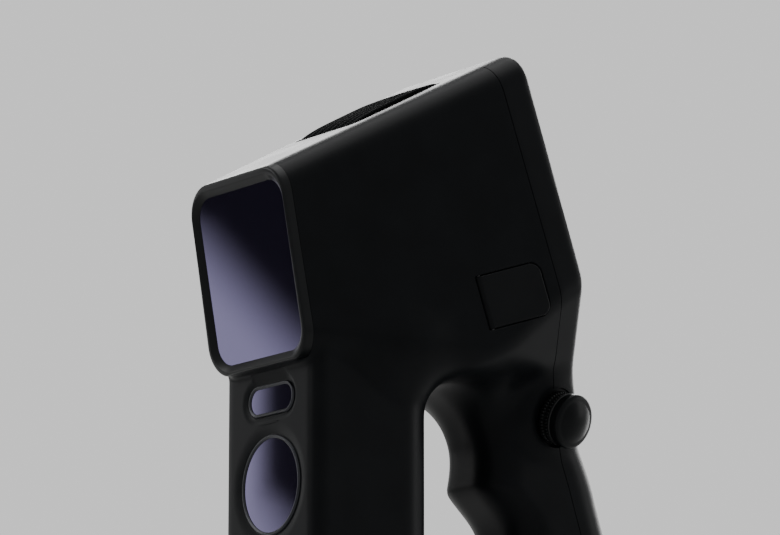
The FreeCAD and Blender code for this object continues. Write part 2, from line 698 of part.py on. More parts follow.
def build_optical_frame():
    """Aluminium plate that holds the cameras and the projector at fixed angles."""
    z0, z1 = FRAME_ENDS
    rear = FRAME_FRONT - FRAME_T
    plate = slab(2 * FRAME_HALF, z1 - z0, 4.0, rear, FRAME_FRONT, 0, (z0 + z1) / 2)
    holes = [slab(18.0, 10.0, 3.0, rear - 1, FRAME_FRONT + 1, 0, 63.0)]
    holes += [disc(SHANK_R + 0.05, rear - 1, FRAME_FRONT + 1, x, z) for x, z in FRAME_SCREWS]
    pad_z = UPPER_CAMERA_REAR
    pad = slab(2 * FRAME_HALF, 2 * HEAD_PAD_HALF, 3.0, pad_z - FRAME_T, pad_z)
    pad_low = FRONT.multVec(V(0, -HEAD_PAD_HALF, pad_z))
    pad_rear = FRONT.multVec(V(0, -HEAD_PAD_HALF, pad_z - FRAME_T))
    pad_high = FRONT.multVec(V(0, HEAD_PAD_HALF - 5.0, pad_z - FRAME_T))
    face_y = -COLUMN_HALF_Y - FRAME_FRONT
    side = [(face_y, 128.0), (face_y + 9.0, 128.0), (pad_rear.y + 9.0, pad_rear.z + 2.0)]
    side += [(pad_high.y, pad_high.z), (pad_rear.y, pad_rear.z), (face_y, pad_low.z - 4.0)]
    ribs = []
    for x in (FRAME_HALF - 3.0, -FRAME_HALF):
        corners = [V(x, y, z) for y, z in side]
        ribs.append(Part.Face(Part.makePolygon(corners + [corners[0]])).extrude(V(3.0, 0, 0)))
    save("optical_frame", fuse_all([put(cut_all(plate, holes), COLUMN_FACE), put(pad, FRONT)] + ribs))


# ---- top of the head: grille, fan, heat sink, main board -------------------------------
GRILLE_RIBS = 8


def build_grille():
    """Frame with ribs that run from front to rear."""
    width = VENT_SIZE[0] - 0.5
    height = VENT_SIZE[1] - 0.5
    plate = slab(width, height, 2.2, -WALL, 0.4)
    pitch = (width - 2.4) / GRILLE_RIBS
    slots = []
    for k in range(GRILLE_RIBS):
        x = -width / 2 + 1.2 + pitch * (k + 0.5)
        slots.append(slab(pitch - 1.5, height - 3.0, 0.9, -WALL - 1, 2.0, x))
    save("vent_grille", put(cut_all(plate, slots), TOP))


FAN_Z = (-14.0, -6.0)
FAN_SIZE = 35.0
FAN_BORE_R = 15.6
FAN_HUB_R = 6.6
FAN_BLADES = 7
SPINDLE_R = 1.0


def build_fan():
    z0, z1 = FAN_Z
    body = slab(FAN_SIZE, FAN_SIZE, 3.0, z0, z1)
    shroud = slab(41.0, 46.0, 3.0, z1 - 1.2, -WALL).cut(slab(37.4, 42.6, 2.5, z1, 0.0))
    body = body.fuse(shroud).removeSplitter().cut(disc(FAN_BORE_R, z0 - 1, z1 + 1))
    pieces = [body, disc(FAN_HUB_R, z0, z0 + 1.2), disc(SPINDLE_R, z0 + 0.4, z1 - 1.4)]
    for k in range(3):
        strut = Part.makeBox(FAN_BORE_R + 0.8, 1.6, 1.2, V(0, -0.8, z0))
        pieces.append(strut.rotate(V(0, 0, 0), Z_DIR, 30 + 120 * k))
    save("fan_frame", put(fuse_all(pieces), TOP))
    hub = disc(FAN_HUB_R, z0 + 1.7, z1 - 0.6).cut(disc(SPINDLE_R + 0.05, z0, z1 - 1.1))
    blades = []
    for k in range(FAN_BLADES):
        blade = Part.makeBox(9.4, 1.0, 7.0, V(FAN_HUB_R - 1, -0.5, -3.5))
        blade.rotate(V(0, 0, 0), X_DIR, 52)
        blade = blade.common(disc(FAN_BORE_R - 0.7, -2.5, 2.5))
        blade.translate(V(0, 0, (z0 + z1) / 2 + 0.4))
        blades.append(blade.rotate(V(0, 0, 0), Z_DIR, 360 / FAN_BLADES * k))
    save("fan_rotor", put(fuse_all([hub] + blades), TOP))


PROCESSOR_H = 0.8
SINK_SIZE = 34.0
SINK_BASE = 2.0
SINK_FINS = 9


def build_board():
    chip_top = BOARD_Z + PROCESSOR_H
    fin_foot = chip_top + SINK_BASE
    fin_height = FAN_Z[0] - 0.6 - fin_foot
    pieces = [slab(SINK_SIZE, SINK_SIZE, 1.0, chip_top, fin_foot)]
    pitch = SINK_SIZE / SINK_FINS
    for k in range(SINK_FINS):
        x = -SINK_SIZE / 2 + pitch * (k + 0.5) - 0.5
        pieces.append(Part.makeBox(1.0, SINK_SIZE, fin_height, V(x, -SINK_SIZE / 2, fin_foot)))
    save("heat_sink", put(fuse_all(pieces), TOP))
    board = slab(56.0, 54.0, 2.0, BOARD_Z - BOARD_T, BOARD_Z, 0.0, 3.0)
    board = cut_all(board, [disc(1.2, BOARD_Z - 5, BOARD_Z + 1, x, y) for x, y in BOARD_POSTS])
    save("main_board", put(board, TOP))
    save("processor", put(slab(16.0, 16.0, 0.5, BOARD_Z, chip_top), TOP))


# ---- rear face: display and power button -----------------------------------------------------------
def build_display():
    save("display_glass", put(slab(*DISPLAY_SIZE, 5.0, -DISPLAY_POCKET, -0.1), REAR))
    width, height = PANEL_OPENING
    save("display_panel", put(slab(width - 0.6, height - 0.6, 1.6, -4.3, -DISPLAY_POCKET), REAR))


def build_button():
    rim = [(BUTTON_R, -2.8), (BUTTON_R, 0.3), (BUTTON_R - 0.5, 0.8), (0, 0.8)]
    cap = turned([(0, -4.4), (1.5, -4.4), (1.5, -3.8), (6.4, -3.8), (6.4, -2.8)] + rim)
    save("power_button", put(cap.translated(V(0, BUTTON_Y, 0)), REAR))
    board = slab(16.0, 16.0, 1.5, SWITCH_TOP - 1.4, SWITCH_TOP, 0, BUTTON_Y)
    switch = slab(6.0, 6.0, 0.5, SWITCH_TOP, SWITCH_TOP + 1.8, 0, BUTTON_Y)
    save("button_switch", put(board.fuse(switch), REAR))


# ---- knob --------------------------------------------------------------------------------------------
SHAFT_R = 2.0
SHAFT_END = -14.4
RIB_DEPTH = 0.55
CAP_EDGE = 0.6                   # straight side of the cap under its dome


def build_knob():
    teeth = []
    for k in range(2 * KNOB_RIBS):
        r = KNOB_R - RIB_DEPTH * (k % 2)
        angle = pi * k / KNOB_RIBS
        teeth.append(V(r * cos(angle), r * sin(angle), KNOB_LIFT))
    skirt = Part.Face(Part.makePolygon(teeth + [teeth[0]])).extrude(V(0, 0, KNOB_TOP - KNOB_LIFT - CAP_EDGE))
    stem_r = 3.2
    hollow = [disc(KNOB_R - 2.2, 0, KNOB_TOP - 2.4), disc(stem_r, 0, KNOB_TOP + 1)]
    save("knob_skirt", put(cut_all(skirt, hollow), KNOB_FACE))
    cap_r = KNOB_R - 0.3
    cap = [disc(cap_r, KNOB_TOP - CAP_EDGE, KNOB_TOP), dome(cap_r, KNOB_DOME, KNOB_TOP)]
    cap = fuse_all(cap + [disc(stem_r, KNOB_TOP - 3.6, KNOB_TOP)])
    save("knob_cap", put(cap.cut(disc(SHAFT_R, 0, KNOB_TOP - 1.0)), KNOB_FACE))
    save("knob_shaft", put(disc(SHAFT_R, SHAFT_END, KNOB_TOP - 1.0), KNOB_FACE))


def build_encoder():
    z0, z1 = ENCODER_Z
    flange = ring(BUSH_FLANGE_R, BUSH_R - 1, PAD_FLOOR - 1.6, PAD_FLOOR)
    bush = ring(BUSH_R, SHAFT_R + 0.05, z1, 0.0).fuse(flange).removeSplitter()
    save("knob_bush", put(bush, KNOB_FACE))
    room = [disc(4.4, z0 + 1.2, z1 - 1.2), disc(SHAFT_R + 0.08, z0 + 2, z1 + 1)]
    body = cut_all(slab(ENCODER_SIZE, ENCODER_SIZE, 1.0, z0, z1), room)
    save("encoder_body", put(body, KNOB_FACE))
    save("encoder_plunger", put(disc(4.0, SHAFT_END - 1.2, SHAFT_END - 0.02), KNOB_FACE))
    save("encoder_dome", put(dome(3.6, 0.3, z0 + 1.2), KNOB_FACE))


# ---- port cover and sockets --------------------------------------------------------------------------
def build_port():
    width, height = PORT_SIZE
    plate = port_outline(0.0, -PORT_LID_T, 0.0)
    behind_axis = Part.makeBox(width, height + 2, 10, V(HINGE_R - width / 2, -height / 2 - 1, -5))
    barrel = put(disc(HINGE_R, -height / 2, height / 2), PORT_HINGE)
    nail = disc(4.2, -0.9, 1.0, width / 2 + 2.4, 0.0)
    bore = put(disc(PIN_R + PIN_PLAY, -REACH, REACH), PORT_HINGE)
    cover = plate.common(behind_axis).fuse(barrel).removeSplitter()
    save("port_cover", put(cut_all(cover, [bore, nail]), PORT))
    save("port_hinge_pin", put(put(disc(PIN_R, -PORT_PIN_HALF, PORT_PIN_HALF), PORT_HINGE), PORT))


def build_sockets():
    low, high = SOCKET_Z
    width, height, r = USB_SHELL
    shell = slab(width, height, r, low, high, USB_X, 0)
    shell = shell.cut(slab(width - 0.6, height - 0.6, r - 0.3, low + 1.0, high + 1, USB_X, 0))
    tongue = slab(6.6, 0.7, 0.3, low + 0.9, high - 0.6, USB_X, 0)
    save("usb_socket", put(shell.fuse(tongue).removeSplitter(), PORT))
    jack = ring(JACK_R, JACK_R - 1.0, low, high, JACK_X, 0)
    bottom = disc(JACK_R, low, low + 1.0, JACK_X, 0)
    pin = disc(0.6, low + 0.5, high - 1.0, JACK_X, 0)
    save("charging_jack", put(fuse_all([jack, bottom, pin]), PORT))


# ---- grip: battery, door, end collar --------------------------------------------------------------------
DOOR_HINGE_Y = 95.9
DOOR_HINGE_Z = 2.7
DOOR_PIN_HALF = 11.3
DOOR_HALF = 14.6
DOOR_REAR_Y = 128.3
DOOR_UNDER = 0.8
DOOR_T = 2.4
DOOR_FULL_Y = 99.2
TONGUE_HALF = 8.6


def door_outline(grow, z0, z1):
    """The door seen from below: a wide plate and a hinge tongue in front of it."""
    half = DOOR_HALF + grow
    plate = rounded_wire(-half, half, DOOR_FULL_Y - grow, DOOR_REAR_Y + grow, 3.0, 9.0, z0)
    plate = Part.Face(plate).extrude(V(0, 0, z1 - z0))
    half = TONGUE_HALF + grow
    front = DOOR_HINGE_Y - 2 * grow
    tongue = Part.makeBox(2 * half, DOOR_FULL_Y + 4.0 - front, z1 - z0, V(-half, front, z0))
    return plate, tongue


def along_x(r, half, clearance=0.0):
    """A cylinder on the door's hinge axis."""
    return Part.makeCylinder(r + clearance, 2 * half, V(-half, DOOR_HINGE_Y, DOOR_HINGE_Z), X_DIR)


def grip_part(inset, z0, height):
    """A level slice of the grip's form, moved inwards by inset."""
    return grip(inset).common(Part.makeBox(80, 80, height, V(-40, 60, z0)))


def build_grip_end():
    top = GRIP_END_TOP
    collar = grip_part(0.0, 0.0, top).fuse(grip_part(WALL + 0.1, top - 0.5, 4.5)).removeSplitter()
    plate, tongue = door_outline(GAP, -1.0, 20.0)
    half = TONGUE_HALF + GAP
    barrel_room = Part.makeBox(2 * half, 6, 21, V(-half, DOOR_HINGE_Y - HINGE_R - GAP, -1))
    battery_room = grip_part(WALL + 1.5, DOOR_UNDER + DOOR_T + 1.6, 20.0)
    half = DOOR_HALF + GAP
    swing = Part.makeBox(2 * half, 5.4, DOOR_HINGE_Z + 1, V(-half, DOOR_HINGE_Y, -1))
    swing = swing.cut(along_x(DOOR_FULL_Y - GAP - DOOR_HINGE_Y, 30.0))
    tools = [plate, tongue, barrel_room, battery_room, swing, along_x(PIN_R, DOOR_PIN_HALF + 0.2)]
    save("grip_collar", cut_all(collar, tools))


def build_door():
    plate, tongue = door_outline(0.0, DOOR_UNDER, DOOR_UNDER + DOOR_T)
    nail = Part.makeCylinder(5.0, 2.0, V(0, DOOR_REAR_Y + 2.1, DOOR_UNDER - 1.2))
    door = fuse_all([plate, tongue, along_x(HINGE_R, TONGUE_HALF)])
    save("battery_door", cut_all(door, [along_x(PIN_R, 20.0, PIN_PLAY), nail]))
    save("door_hinge_pin", along_x(PIN_R, DOOR_PIN_HALF))


BATTERY_SIZE = (27.0, 27.4)
BATTERY_FOOT = 11.6
BATTERY_LENGTH = 70.0


def build_battery():
    along = frame(V(0, 113.6, 0), REAR_UP, Y_DIR)
    top = BATTERY_FOOT + BATTERY_LENGTH
    save("battery_pack", put(slab(*BATTERY_SIZE, 6.0, BATTERY_FOOT, top), along))
    pins = [disc(0.9, top, top + 3.4, -7.5 + 5.0 * k, 0) for k in range(4)]
    save("battery_contacts", put(fuse_all([slab(30.0, 14.0, 1.0, top + 3.4, top + 5.0)] + pins), along))


# ---- foot of the column -----------------------------------------------------------------------------------
BASE_TOP = 5.6
FOOT_T = 2.4
INSERT_R = 4.6
SOCKET_R = 2.55
SOCKET_LENGTH = 11.0


def build_foot():
    plug = column(WALL, COLUMN_START, BASE_TOP).fuse(disc(9.0, BASE_TOP, BASE_TOP + 6.4)).removeSplitter()
    recess = slab(45.0, 40.0, 8.0, -1.0, FOOT_T).cut(disc(13.0, -2, 3))
    save("column_base", cut_all(plug, [recess, disc(INSERT_R, -1, 20)]))
    save("column_foot", slab(44.8, 39.8, 7.9, 0.0, FOOT_T).cut(disc(13.1, -2, 3)))
    save("tripod_insert", ring(INSERT_R, SOCKET_R, 0.0, SOCKET_LENGTH))


build_housing()
build_screws()
build_bezel()
build_upper_camera()
build_column_windows()
build_column_optics()
build_optical_frame()
build_grille()
build_fan()
build_board()
build_display()
build_button()
build_knob()
build_encoder()
build_port()
build_sockets()
build_grip_end()
build_door()
build_battery()
build_foot()

os.makedirs("parts", exist_ok=True)
for name, shape in parts.items():
    shape.exportStep("parts/" + name + ".step")
    print(name, len(shape.Solids), shape.isValid(), round(shape.Volume, 1))
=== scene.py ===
import logging
import math
from collections.abc import Callable, Mapping, Sequence
from dataclasses import dataclass, field
from enum import Enum
from functools import cached_property, reduce
from itertools import product

import bmesh
import bpy
import numpy as np
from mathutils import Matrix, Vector


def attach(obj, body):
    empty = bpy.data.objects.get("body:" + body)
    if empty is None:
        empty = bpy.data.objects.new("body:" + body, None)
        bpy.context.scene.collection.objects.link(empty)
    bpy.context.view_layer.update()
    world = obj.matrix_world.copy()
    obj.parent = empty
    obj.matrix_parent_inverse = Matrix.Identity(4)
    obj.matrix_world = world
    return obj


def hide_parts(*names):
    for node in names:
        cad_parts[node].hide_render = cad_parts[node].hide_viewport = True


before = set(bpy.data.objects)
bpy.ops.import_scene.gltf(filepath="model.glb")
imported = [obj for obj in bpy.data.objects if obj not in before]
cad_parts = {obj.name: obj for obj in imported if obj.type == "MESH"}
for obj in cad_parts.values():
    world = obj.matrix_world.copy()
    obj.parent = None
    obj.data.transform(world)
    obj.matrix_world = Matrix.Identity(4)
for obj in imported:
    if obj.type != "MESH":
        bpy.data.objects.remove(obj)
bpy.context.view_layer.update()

LOG = logging.getLogger("scanner")
MM = 0.001                       # the sizes below are millimetres, the scene is in metres
Array = np.ndarray
Pair = tuple[float, float]
Triple = tuple[float, float, float]
Outline = Callable[[float], Array]
Profile = Sequence[Pair]
Tree = bpy.types.NodeTree
Socket = bpy.types.NodeSocket


# ---- places ----------------------------------------------------------------------------------
def unit(vector: Sequence[float]) -> Array:
    """The vector at length one."""
    vector = np.asarray(vector, float)
    return vector / np.linalg.norm(vector)


@dataclass(frozen=True)
class Place:
    """A local frame on a face of the scanner; local Z points out of the face.

    Attributes:
        origin: the frame's origin in the row frame, in millimetres.
        out: the direction of local Z.
        up: the direction that local Y comes as near to as it can.
    """

    origin: Triple
    out: Triple
    up: Triple = (0.0, 0.0, 1.0)

    @cached_property
    def axes(self) -> Array:
        """Local X, Y and Z as rows."""
        z = unit(self.out)
        x = unit(np.cross(self.up, z))
        return np.array([x, np.cross(z, x), z])

    def to_row(self, points: Array) -> Array:
        """Local points in the row frame."""
        return np.asarray(points, float) @ self.axes + np.array(self.origin)

    def to_local(self, points: Array) -> Array:
        """Row-frame points in this frame."""
        return (np.asarray(points, float) - np.array(self.origin)) @ self.axes.T

    def shifted(self, x: float, y: float, z: float = 0.0) -> "Place":
        """The same axes with the origin moved by local x, y and z."""
        return Place(tuple(self.to_row(np.array([[x, y, z]]))[0]), self.out, self.up)


def tilted(degrees: float, y_sign: float, z_sign: float) -> Triple:
    """A direction in the YZ plane, tilted from Y by an angle."""
    angle = math.radians(degrees)
    return (0.0, y_sign * math.cos(angle), z_sign * math.sin(angle))


FRONT_OUT = tilted(10.2, -1.0, -1.0)
REAR_OUT = tilted(17.3, 1.0, 1.0)
SEAM_OUT = tilted(18.0, 1.0, 1.0)
SEAM_UP = (0.0, -SEAM_OUT[2], SEAM_OUT[1])
TOP_OUT = tilted(61.5, -1.0, 1.0)
TOP_SKIN_OUT = tilted(61.9, -1.0, 1.0)
KNOB_OUT = (0.927, 0.2185, -0.306)
ROW = Place((0.0, 0.0, 0.0), (0.0, 0.0, 1.0), (0.0, 1.0, 0.0))
FRONT = Place((0.0, -35.109, 159.917), FRONT_OUT)
REAR = Place((0.0, 67.05, 201.267), REAR_OUT)
TOP = Place((0.0, 15.0, 222.451), TOP_OUT, (0.0, 1.0, 0.0))
COLUMN_FACE = Place((0.0, -25.3, 0.0), (0.0, -1.0, 0.0))
KNOB_FACE = Place((18.5, 81.0, 119.7), KNOB_OUT)
PORT = Place((38.307, 49.3, 156.0), (1.0, -0.115, 0.0), SEAM_UP)
SEAM = Place((0.0, 67.4, 159.4), SEAM_OUT)
BUTTON = REAR.shifted(0.0, -52.622)
FRONT_GLASS = (52.6, 59.8, 8.6)  # width, height and corner radius of the front window
SCREEN = (64.0, 74.0, 5.0)       # the same of the display glass
GRILLE = (36.3, 41.5, 2.2)       # the same of the grille
PORT_LID = (26.0, 18.5)          # width and height of the port cover
BUTTON_R = 5.5                   # radius of the power button
SHELL_SCREW_X = 29.4             # the screws under the display glass, from its middle
SHELL_SCREW_Y = 35.2
GRIP_SCREWS = (8.6, 100.0)       # the screws in the grip: X on either side, and height
FLAT_RIM = 0.08                  # width of the flat row inside a plate's softened rim
CLOUD_SIZE = 14.0                # size of the faint clouds in every finish
LARGEST_SHARE = 0.45             # share of a profile's side that one softened corner may take
FOLDED, STRAIGHT = 0.05, 1.53    # half angles between which a profile's corner is softened


def height_on(place: Place, z: float) -> float:
    """Y at which a face that leans in the YZ plane has a height."""
    return place.origin[1] + (place.origin[2] - z) * place.out[2] / place.out[1]


def seam_place(x: float, z: float) -> Place:
    """A frame on the parting plane at height z, facing rearwards."""
    return Place((x, height_on(SEAM, z), z), SEAM_OUT)


def grip_screw_place(side: int) -> Place:
    """The frame of the grip's screw on the side of +X or -X."""
    return seam_place(side * GRIP_SCREWS[0], GRIP_SCREWS[1])


# ---- outlines, profiles and lofted solids ----------------------------------------------------
def circle(r: float, steps: int = 96) -> Outline:
    """A circle of radius r."""
    turn = np.linspace(0.0, 2 * math.pi, steps, endpoint=False)
    spokes = np.stack([np.cos(turn), np.sin(turn)], 1)
    return lambda grow: spokes * (r + grow)


def stadium(straight: float, r: float) -> Outline:
    """Two half circles joined by straight lines, or a circle where straight is zero."""
    ring = circle(1.0)(0.0)
    shift = np.where(ring[:, 0] >= 0, straight / 2, -straight / 2)[:, None] * np.array([[1.0, 0.0]])
    return lambda grow: ring * (r + grow) + shift


def rounded(width: float, height: float, r: float | Sequence[float], steps: int = 10) -> Outline:
    """A rounded rectangle.

    Args:
        width: size along local X.
        height: size along local Y.
        r: one corner radius, or four from the corner at +X +Y anticlockwise.
        steps: segments in each corner.

    Returns:
        The outline as a function of how far it is grown outwards.
    """
    radii = [r] * 4 if isinstance(r, float) else list(r)
    corners = ((1, 1), (-1, 1), (-1, -1), (1, -1))

    def outline(grow: float) -> Array:
        """The corners' arcs, one after another."""
        rows = []
        for index, (sx, sy) in enumerate(corners):
            radius = max(radii[index] + grow, 0.05)
            turn = math.pi / 2 * index + np.linspace(0.0, math.pi / 2, steps + 1)
            x = sx * (width / 2 + grow - radius) + radius * np.cos(turn)
            y = sy * (height / 2 + grow - radius) + radius * np.sin(turn)
            rows.append(np.stack([x, y], 1))
        return np.concatenate(rows)

    return outline


def hexagon(across: float, steps: int) -> Outline:
    """A hexagon with as many points as a circle of the same steps."""
    turn = np.linspace(0.0, 2 * math.pi, steps, endpoint=False)
    reach = 1.0 / np.cos((turn % (math.pi / 3)) - math.pi / 6)
    spokes = np.stack([np.cos(turn), np.sin(turn)], 1) * reach[:, None]
    return lambda grow: spokes * (across / 2 + grow)


def softened(
        points: Profile, radius: float, closed: bool = False, steps: int = 3) -> list[Pair]:
    """A profile whose corners are turned into arcs.

    Args:
        points: (grow, height) corners.
        radius: radius of each arc, less where a side is short.
        closed: whether the last point joins the first.
        steps: segments in each arc.

    Returns:
        The longer list of points.
    """
    corners = [np.array(point, float) for point in points]
    soft = []
    for index, corner in enumerate(corners):
        if not closed and index in (0, len(corners) - 1):
            soft.append(tuple(corner))
            continue
        before = corners[index - 1] - corner
        after = corners[(index + 1) % len(corners)] - corner
        room = LARGEST_SHARE * min(np.linalg.norm(before), np.linalg.norm(after))
        before, after = unit(before), unit(after)
        half = math.acos(float(np.clip(before @ after, -1.0, 1.0))) / 2
        if not FOLDED < half < STRAIGHT:
            soft.append(tuple(corner))
            continue
        reach = min(radius / math.tan(half), room)
        start, end = corner + before * reach, corner + after * reach
        for t in np.linspace(0.0, 1.0, steps + 1):
            soft.append(tuple((1 - t) ** 2 * start + 2 * t * (1 - t) * corner + t ** 2 * end))
    return soft


@dataclass
class Solid:
    """Points in millimetres in the row frame, and the faces of a closed mesh."""

    points: Array
    faces: list[tuple[int, ...]]

    def joined(self, other: "Solid") -> "Solid":
        """Both solids in one mesh."""
        moved = [tuple(index + len(self.points) for index in face) for face in other.faces]
        return Solid(np.concatenate([self.points, other.points]), self.faces + moved)


def at_height(flat: Array | Sequence[Pair], z: float) -> Array:
    """Flat points as points at a height."""
    flat = np.asarray(flat, float)
    return np.column_stack([flat, np.full(len(flat), z)])


def rows_solid(rows: Sequence[Array], ring: bool = False) -> Solid:
    """A closed solid through rows of points that all have the same length.

    Args:
        rows: the outlines, from the first end to the last.
        ring: whether the last row joins the first instead of both being capped.

    Returns:
        The solid.
    """
    count = len(rows[0])
    faces: list[tuple[int, ...]] = []
    for row in range(len(rows) if ring else len(rows) - 1):
        low, high = row * count, (row + 1) % len(rows) * count
        for side in range(count):
            other = (side + 1) % count
            faces.append((low + side, low + other, high + other, high + side))
    if not ring:
        faces.append(tuple(range(count - 1, -1, -1)))
        faces.append(tuple(range((len(rows) - 1) * count, len(rows) * count)))
    return Solid(np.concatenate(rows), faces)


def loft(outline: Outline, profile: Profile, place: Place, ring: bool = False) -> Solid:
    """A solid whose outline grows and shrinks with height as its profile says.

    Args:
        outline: the outline that the profile grows.
        profile: (grow, height) pairs in the local frame.
        place: the local frame.
        ring: whether the profile is a closed loop, as for a rim.

    Returns:
        The solid in the row frame.
    """
    return rows_solid([place.to_row(at_height(outline(grow), z)) for grow, z in profile], ring)


def prism(outline: Outline, z0: float, z1: float, place: Place) -> Solid:
    """A plain solid with that outline between two heights."""
    return loft(outline, [(0.0, z0), (0.0, z1)], place)


def block(outline: Outline, z0: float, z1: float, place: Place, edge: float = 0.25) -> Solid:
    """A plate between two heights with both rims softened by edge, and flat right up to them."""
    rim = [(0.0, edge), (-edge * 0.3, edge * 0.3), (-edge, 0.0), (-edge - FLAT_RIM, 0.0)]
    low = [(grow, z0 + rise) for grow, rise in reversed(rim)]
    high = [(grow, z1 - rise) for grow, rise in rim]
    return loft(outline, low + high, place)


def bar(section: Profile, length: float) -> Solid:
    """A bar along local Y with that section in X and Z."""
    flat = np.array(section, float)
    ends = (-length / 2, length / 2)
    return rows_solid([np.column_stack([flat[:, 0], np.full(len(flat), y), flat[:, 1]]) for y in ends])


def domed(r: float, rise: float, z0: float, z1: float, place: Place, edge: float = 0.2) -> Solid:
    """A disc from z0 to z1 with a spherical crown that rises above z1."""
    ball = (r * r + rise * rise) / (2 * rise)
    crown = []
    for share in np.linspace(1.0, 0.02, 15):
        reach = share * r
        crown.append((reach - r, z1 + rise - ball + math.sqrt(ball * ball - reach * reach)))
    return loft(circle(r), [(-edge, z0), (0.0, z0 + edge)] + crown, place)


# ---- finishes --------------------------------------------------------------------------------
def add_node(
        tree: Tree, kind: str, inputs: Mapping[str | int, object] | None = None,
        **settings: object) -> bpy.types.Node:
    """A new node.

    Args:
        tree: the tree that it is added to.
        kind: the node's type.
        inputs: for some of its inputs, the socket that feeds it or its value.
        settings: the node's own settings, such as its operation.

    Returns:
        The node.
    """
    made = tree.nodes.new(kind)
    for name, value in settings.items():
        setattr(made, name, value)
    for key, value in (inputs or {}).items():
        if isinstance(value, Socket):
            tree.links.new(value, made.inputs[key])
        else:
            made.inputs[key].default_value = value
    return made


class Texture(Enum):
    """What breaks up a finish."""

    GRAIN = "spark eroded grain of a moulding"
    BRUSHED = "fine lines left by a tool"
    TRACES = "copper tracks under solder mask"
    CLEAN = "a faint haze only"


@dataclass(frozen=True)
class Finish:
    """A procedural material.

    Attributes:
        name: name of the material.
        colour: linear base colour.
        roughness: roughness of the surface.
        texture: what breaks it up.
        size: size of the texture's features in millimetres.
        depth: height of the texture in millimetres.
        mottle: share by which the colour varies over the piece.
        metallic: how metallic the surface is.
        specular: specular level.
        coat: weight of a clear coat.
        transmission: share of light let through.
        ior: index of refraction.
        tint: colour of the reflection at normal incidence.
    """

    name: str
    colour: Triple
    roughness: float
    texture: Texture = Texture.GRAIN
    size: float = 0.3
    depth: float = 0.02
    mottle: float = 0.12
    metallic: float = 0.0
    specular: float = 0.5
    coat: float = 0.0
    transmission: float = 0.0
    ior: float = 1.5
    tint: Triple = (1.0, 1.0, 1.0)

    def material(self) -> bpy.types.Material:
        """The material, made at its first use."""
        found = bpy.data.materials.get("finish_" + self.name)
        return found if found else self._build()

    def _build(self) -> bpy.types.Material:
        """The node tree: texture into colour, roughness and bump of one Principled shader."""
        made = bpy.data.materials.new("finish_" + self.name)
        made.use_nodes = True
        tree = made.node_tree
        tree.nodes.clear()
        place = add_node(tree, "ShaderNodeTexCoord").outputs["Object"]
        fine = self._fine(tree, place)
        cloud = self._noise(tree, place, CLOUD_SIZE, 3.0)
        inputs = {
            "Base Color": self._colour(tree, fine if self.texture is Texture.TRACES else cloud),
            "Roughness": self._roughness(tree, cloud, fine),
            "Metallic": self.metallic, "Specular IOR Level": self.specular,
            "Specular Tint": (*self.tint, 1.0), "Coat Weight": self.coat, "Coat Roughness": 0.08,
            "Transmission Weight": self.transmission, "IOR": self.ior}
        if self.depth > 0.0:
            relief = {"Strength": 0.5, "Distance": self.depth * MM, "Height": fine}
            inputs["Normal"] = add_node(tree, "ShaderNodeBump", relief).outputs["Normal"]
        shader = add_node(tree, "ShaderNodeBsdfPrincipled", inputs)
        add_node(tree, "ShaderNodeOutputMaterial", {"Surface": shader.outputs["BSDF"]})
        return made

    @staticmethod
    def _noise(tree: Tree, place: Socket, size: float, detail: float) -> Socket:
        """Noise whose features are size millimetres across."""
        inputs = {"Vector": place, "Scale": 1.0 / (size * MM), "Detail": detail}
        return add_node(tree, "ShaderNodeTexNoise", inputs).outputs["Fac"]

    def _fine(self, tree: Tree, place: Socket) -> Socket:
        """The fine pattern that the texture option names."""
        if self.texture is Texture.BRUSHED:
            drawn_out = add_node(tree, "ShaderNodeMapping", {"Vector": place, "Scale": (1.0, 1.0, 0.06)})
            return self._noise(tree, drawn_out.outputs["Vector"], self.size, 2.0)
        if self.texture is Texture.TRACES:
            inputs = {"Vector": place, "Scale": 1.0 / (self.size * MM)}
            return add_node(tree, "ShaderNodeTexVoronoi", inputs, distance="MANHATTAN").outputs["Distance"]
        return self._noise(tree, place, self.size, 4.0)

    @staticmethod
    def _between(tree: Tree, source: Socket, low: float, high: float) -> Socket:
        """The source's middle range spread over a range of numbers."""
        inputs = {"Value": source, "From Min": 0.3, "From Max": 0.7, "To Min": low, "To Max": high}
        return add_node(tree, "ShaderNodeMapRange", inputs).outputs["Result"]

    def _colour(self, tree: Tree, source: Socket) -> Socket:
        """Base colour that varies a little over the piece."""
        dark, light = (
            (*(min(value * share, 1.0) for value in self.colour), 1.0)
            for share in (1.0 - self.mottle, 1.0 + self.mottle))
        inputs = {0: self._between(tree, source, 0.0, 1.0), 6: dark, 7: light}
        return add_node(tree, "ShaderNodeMix", inputs, data_type="RGBA").outputs[2]

    def _roughness(self, tree: Tree, cloud: Socket, fine: Socket) -> Socket:
        """Roughness that follows faint handling marks and the fine texture."""
        half = add_node(tree, "ShaderNodeMath", {0: fine, 1: 0.5}, operation="MULTIPLY")
        inputs = {0: cloud, 1: 0.5, 2: half.outputs[0]}
        both = add_node(tree, "ShaderNodeMath", inputs, operation="MULTIPLY_ADD")
        low, high = self.roughness * 0.88, min(self.roughness * 1.12, 1.0)
        return self._between(tree, both.outputs[0], low, high)


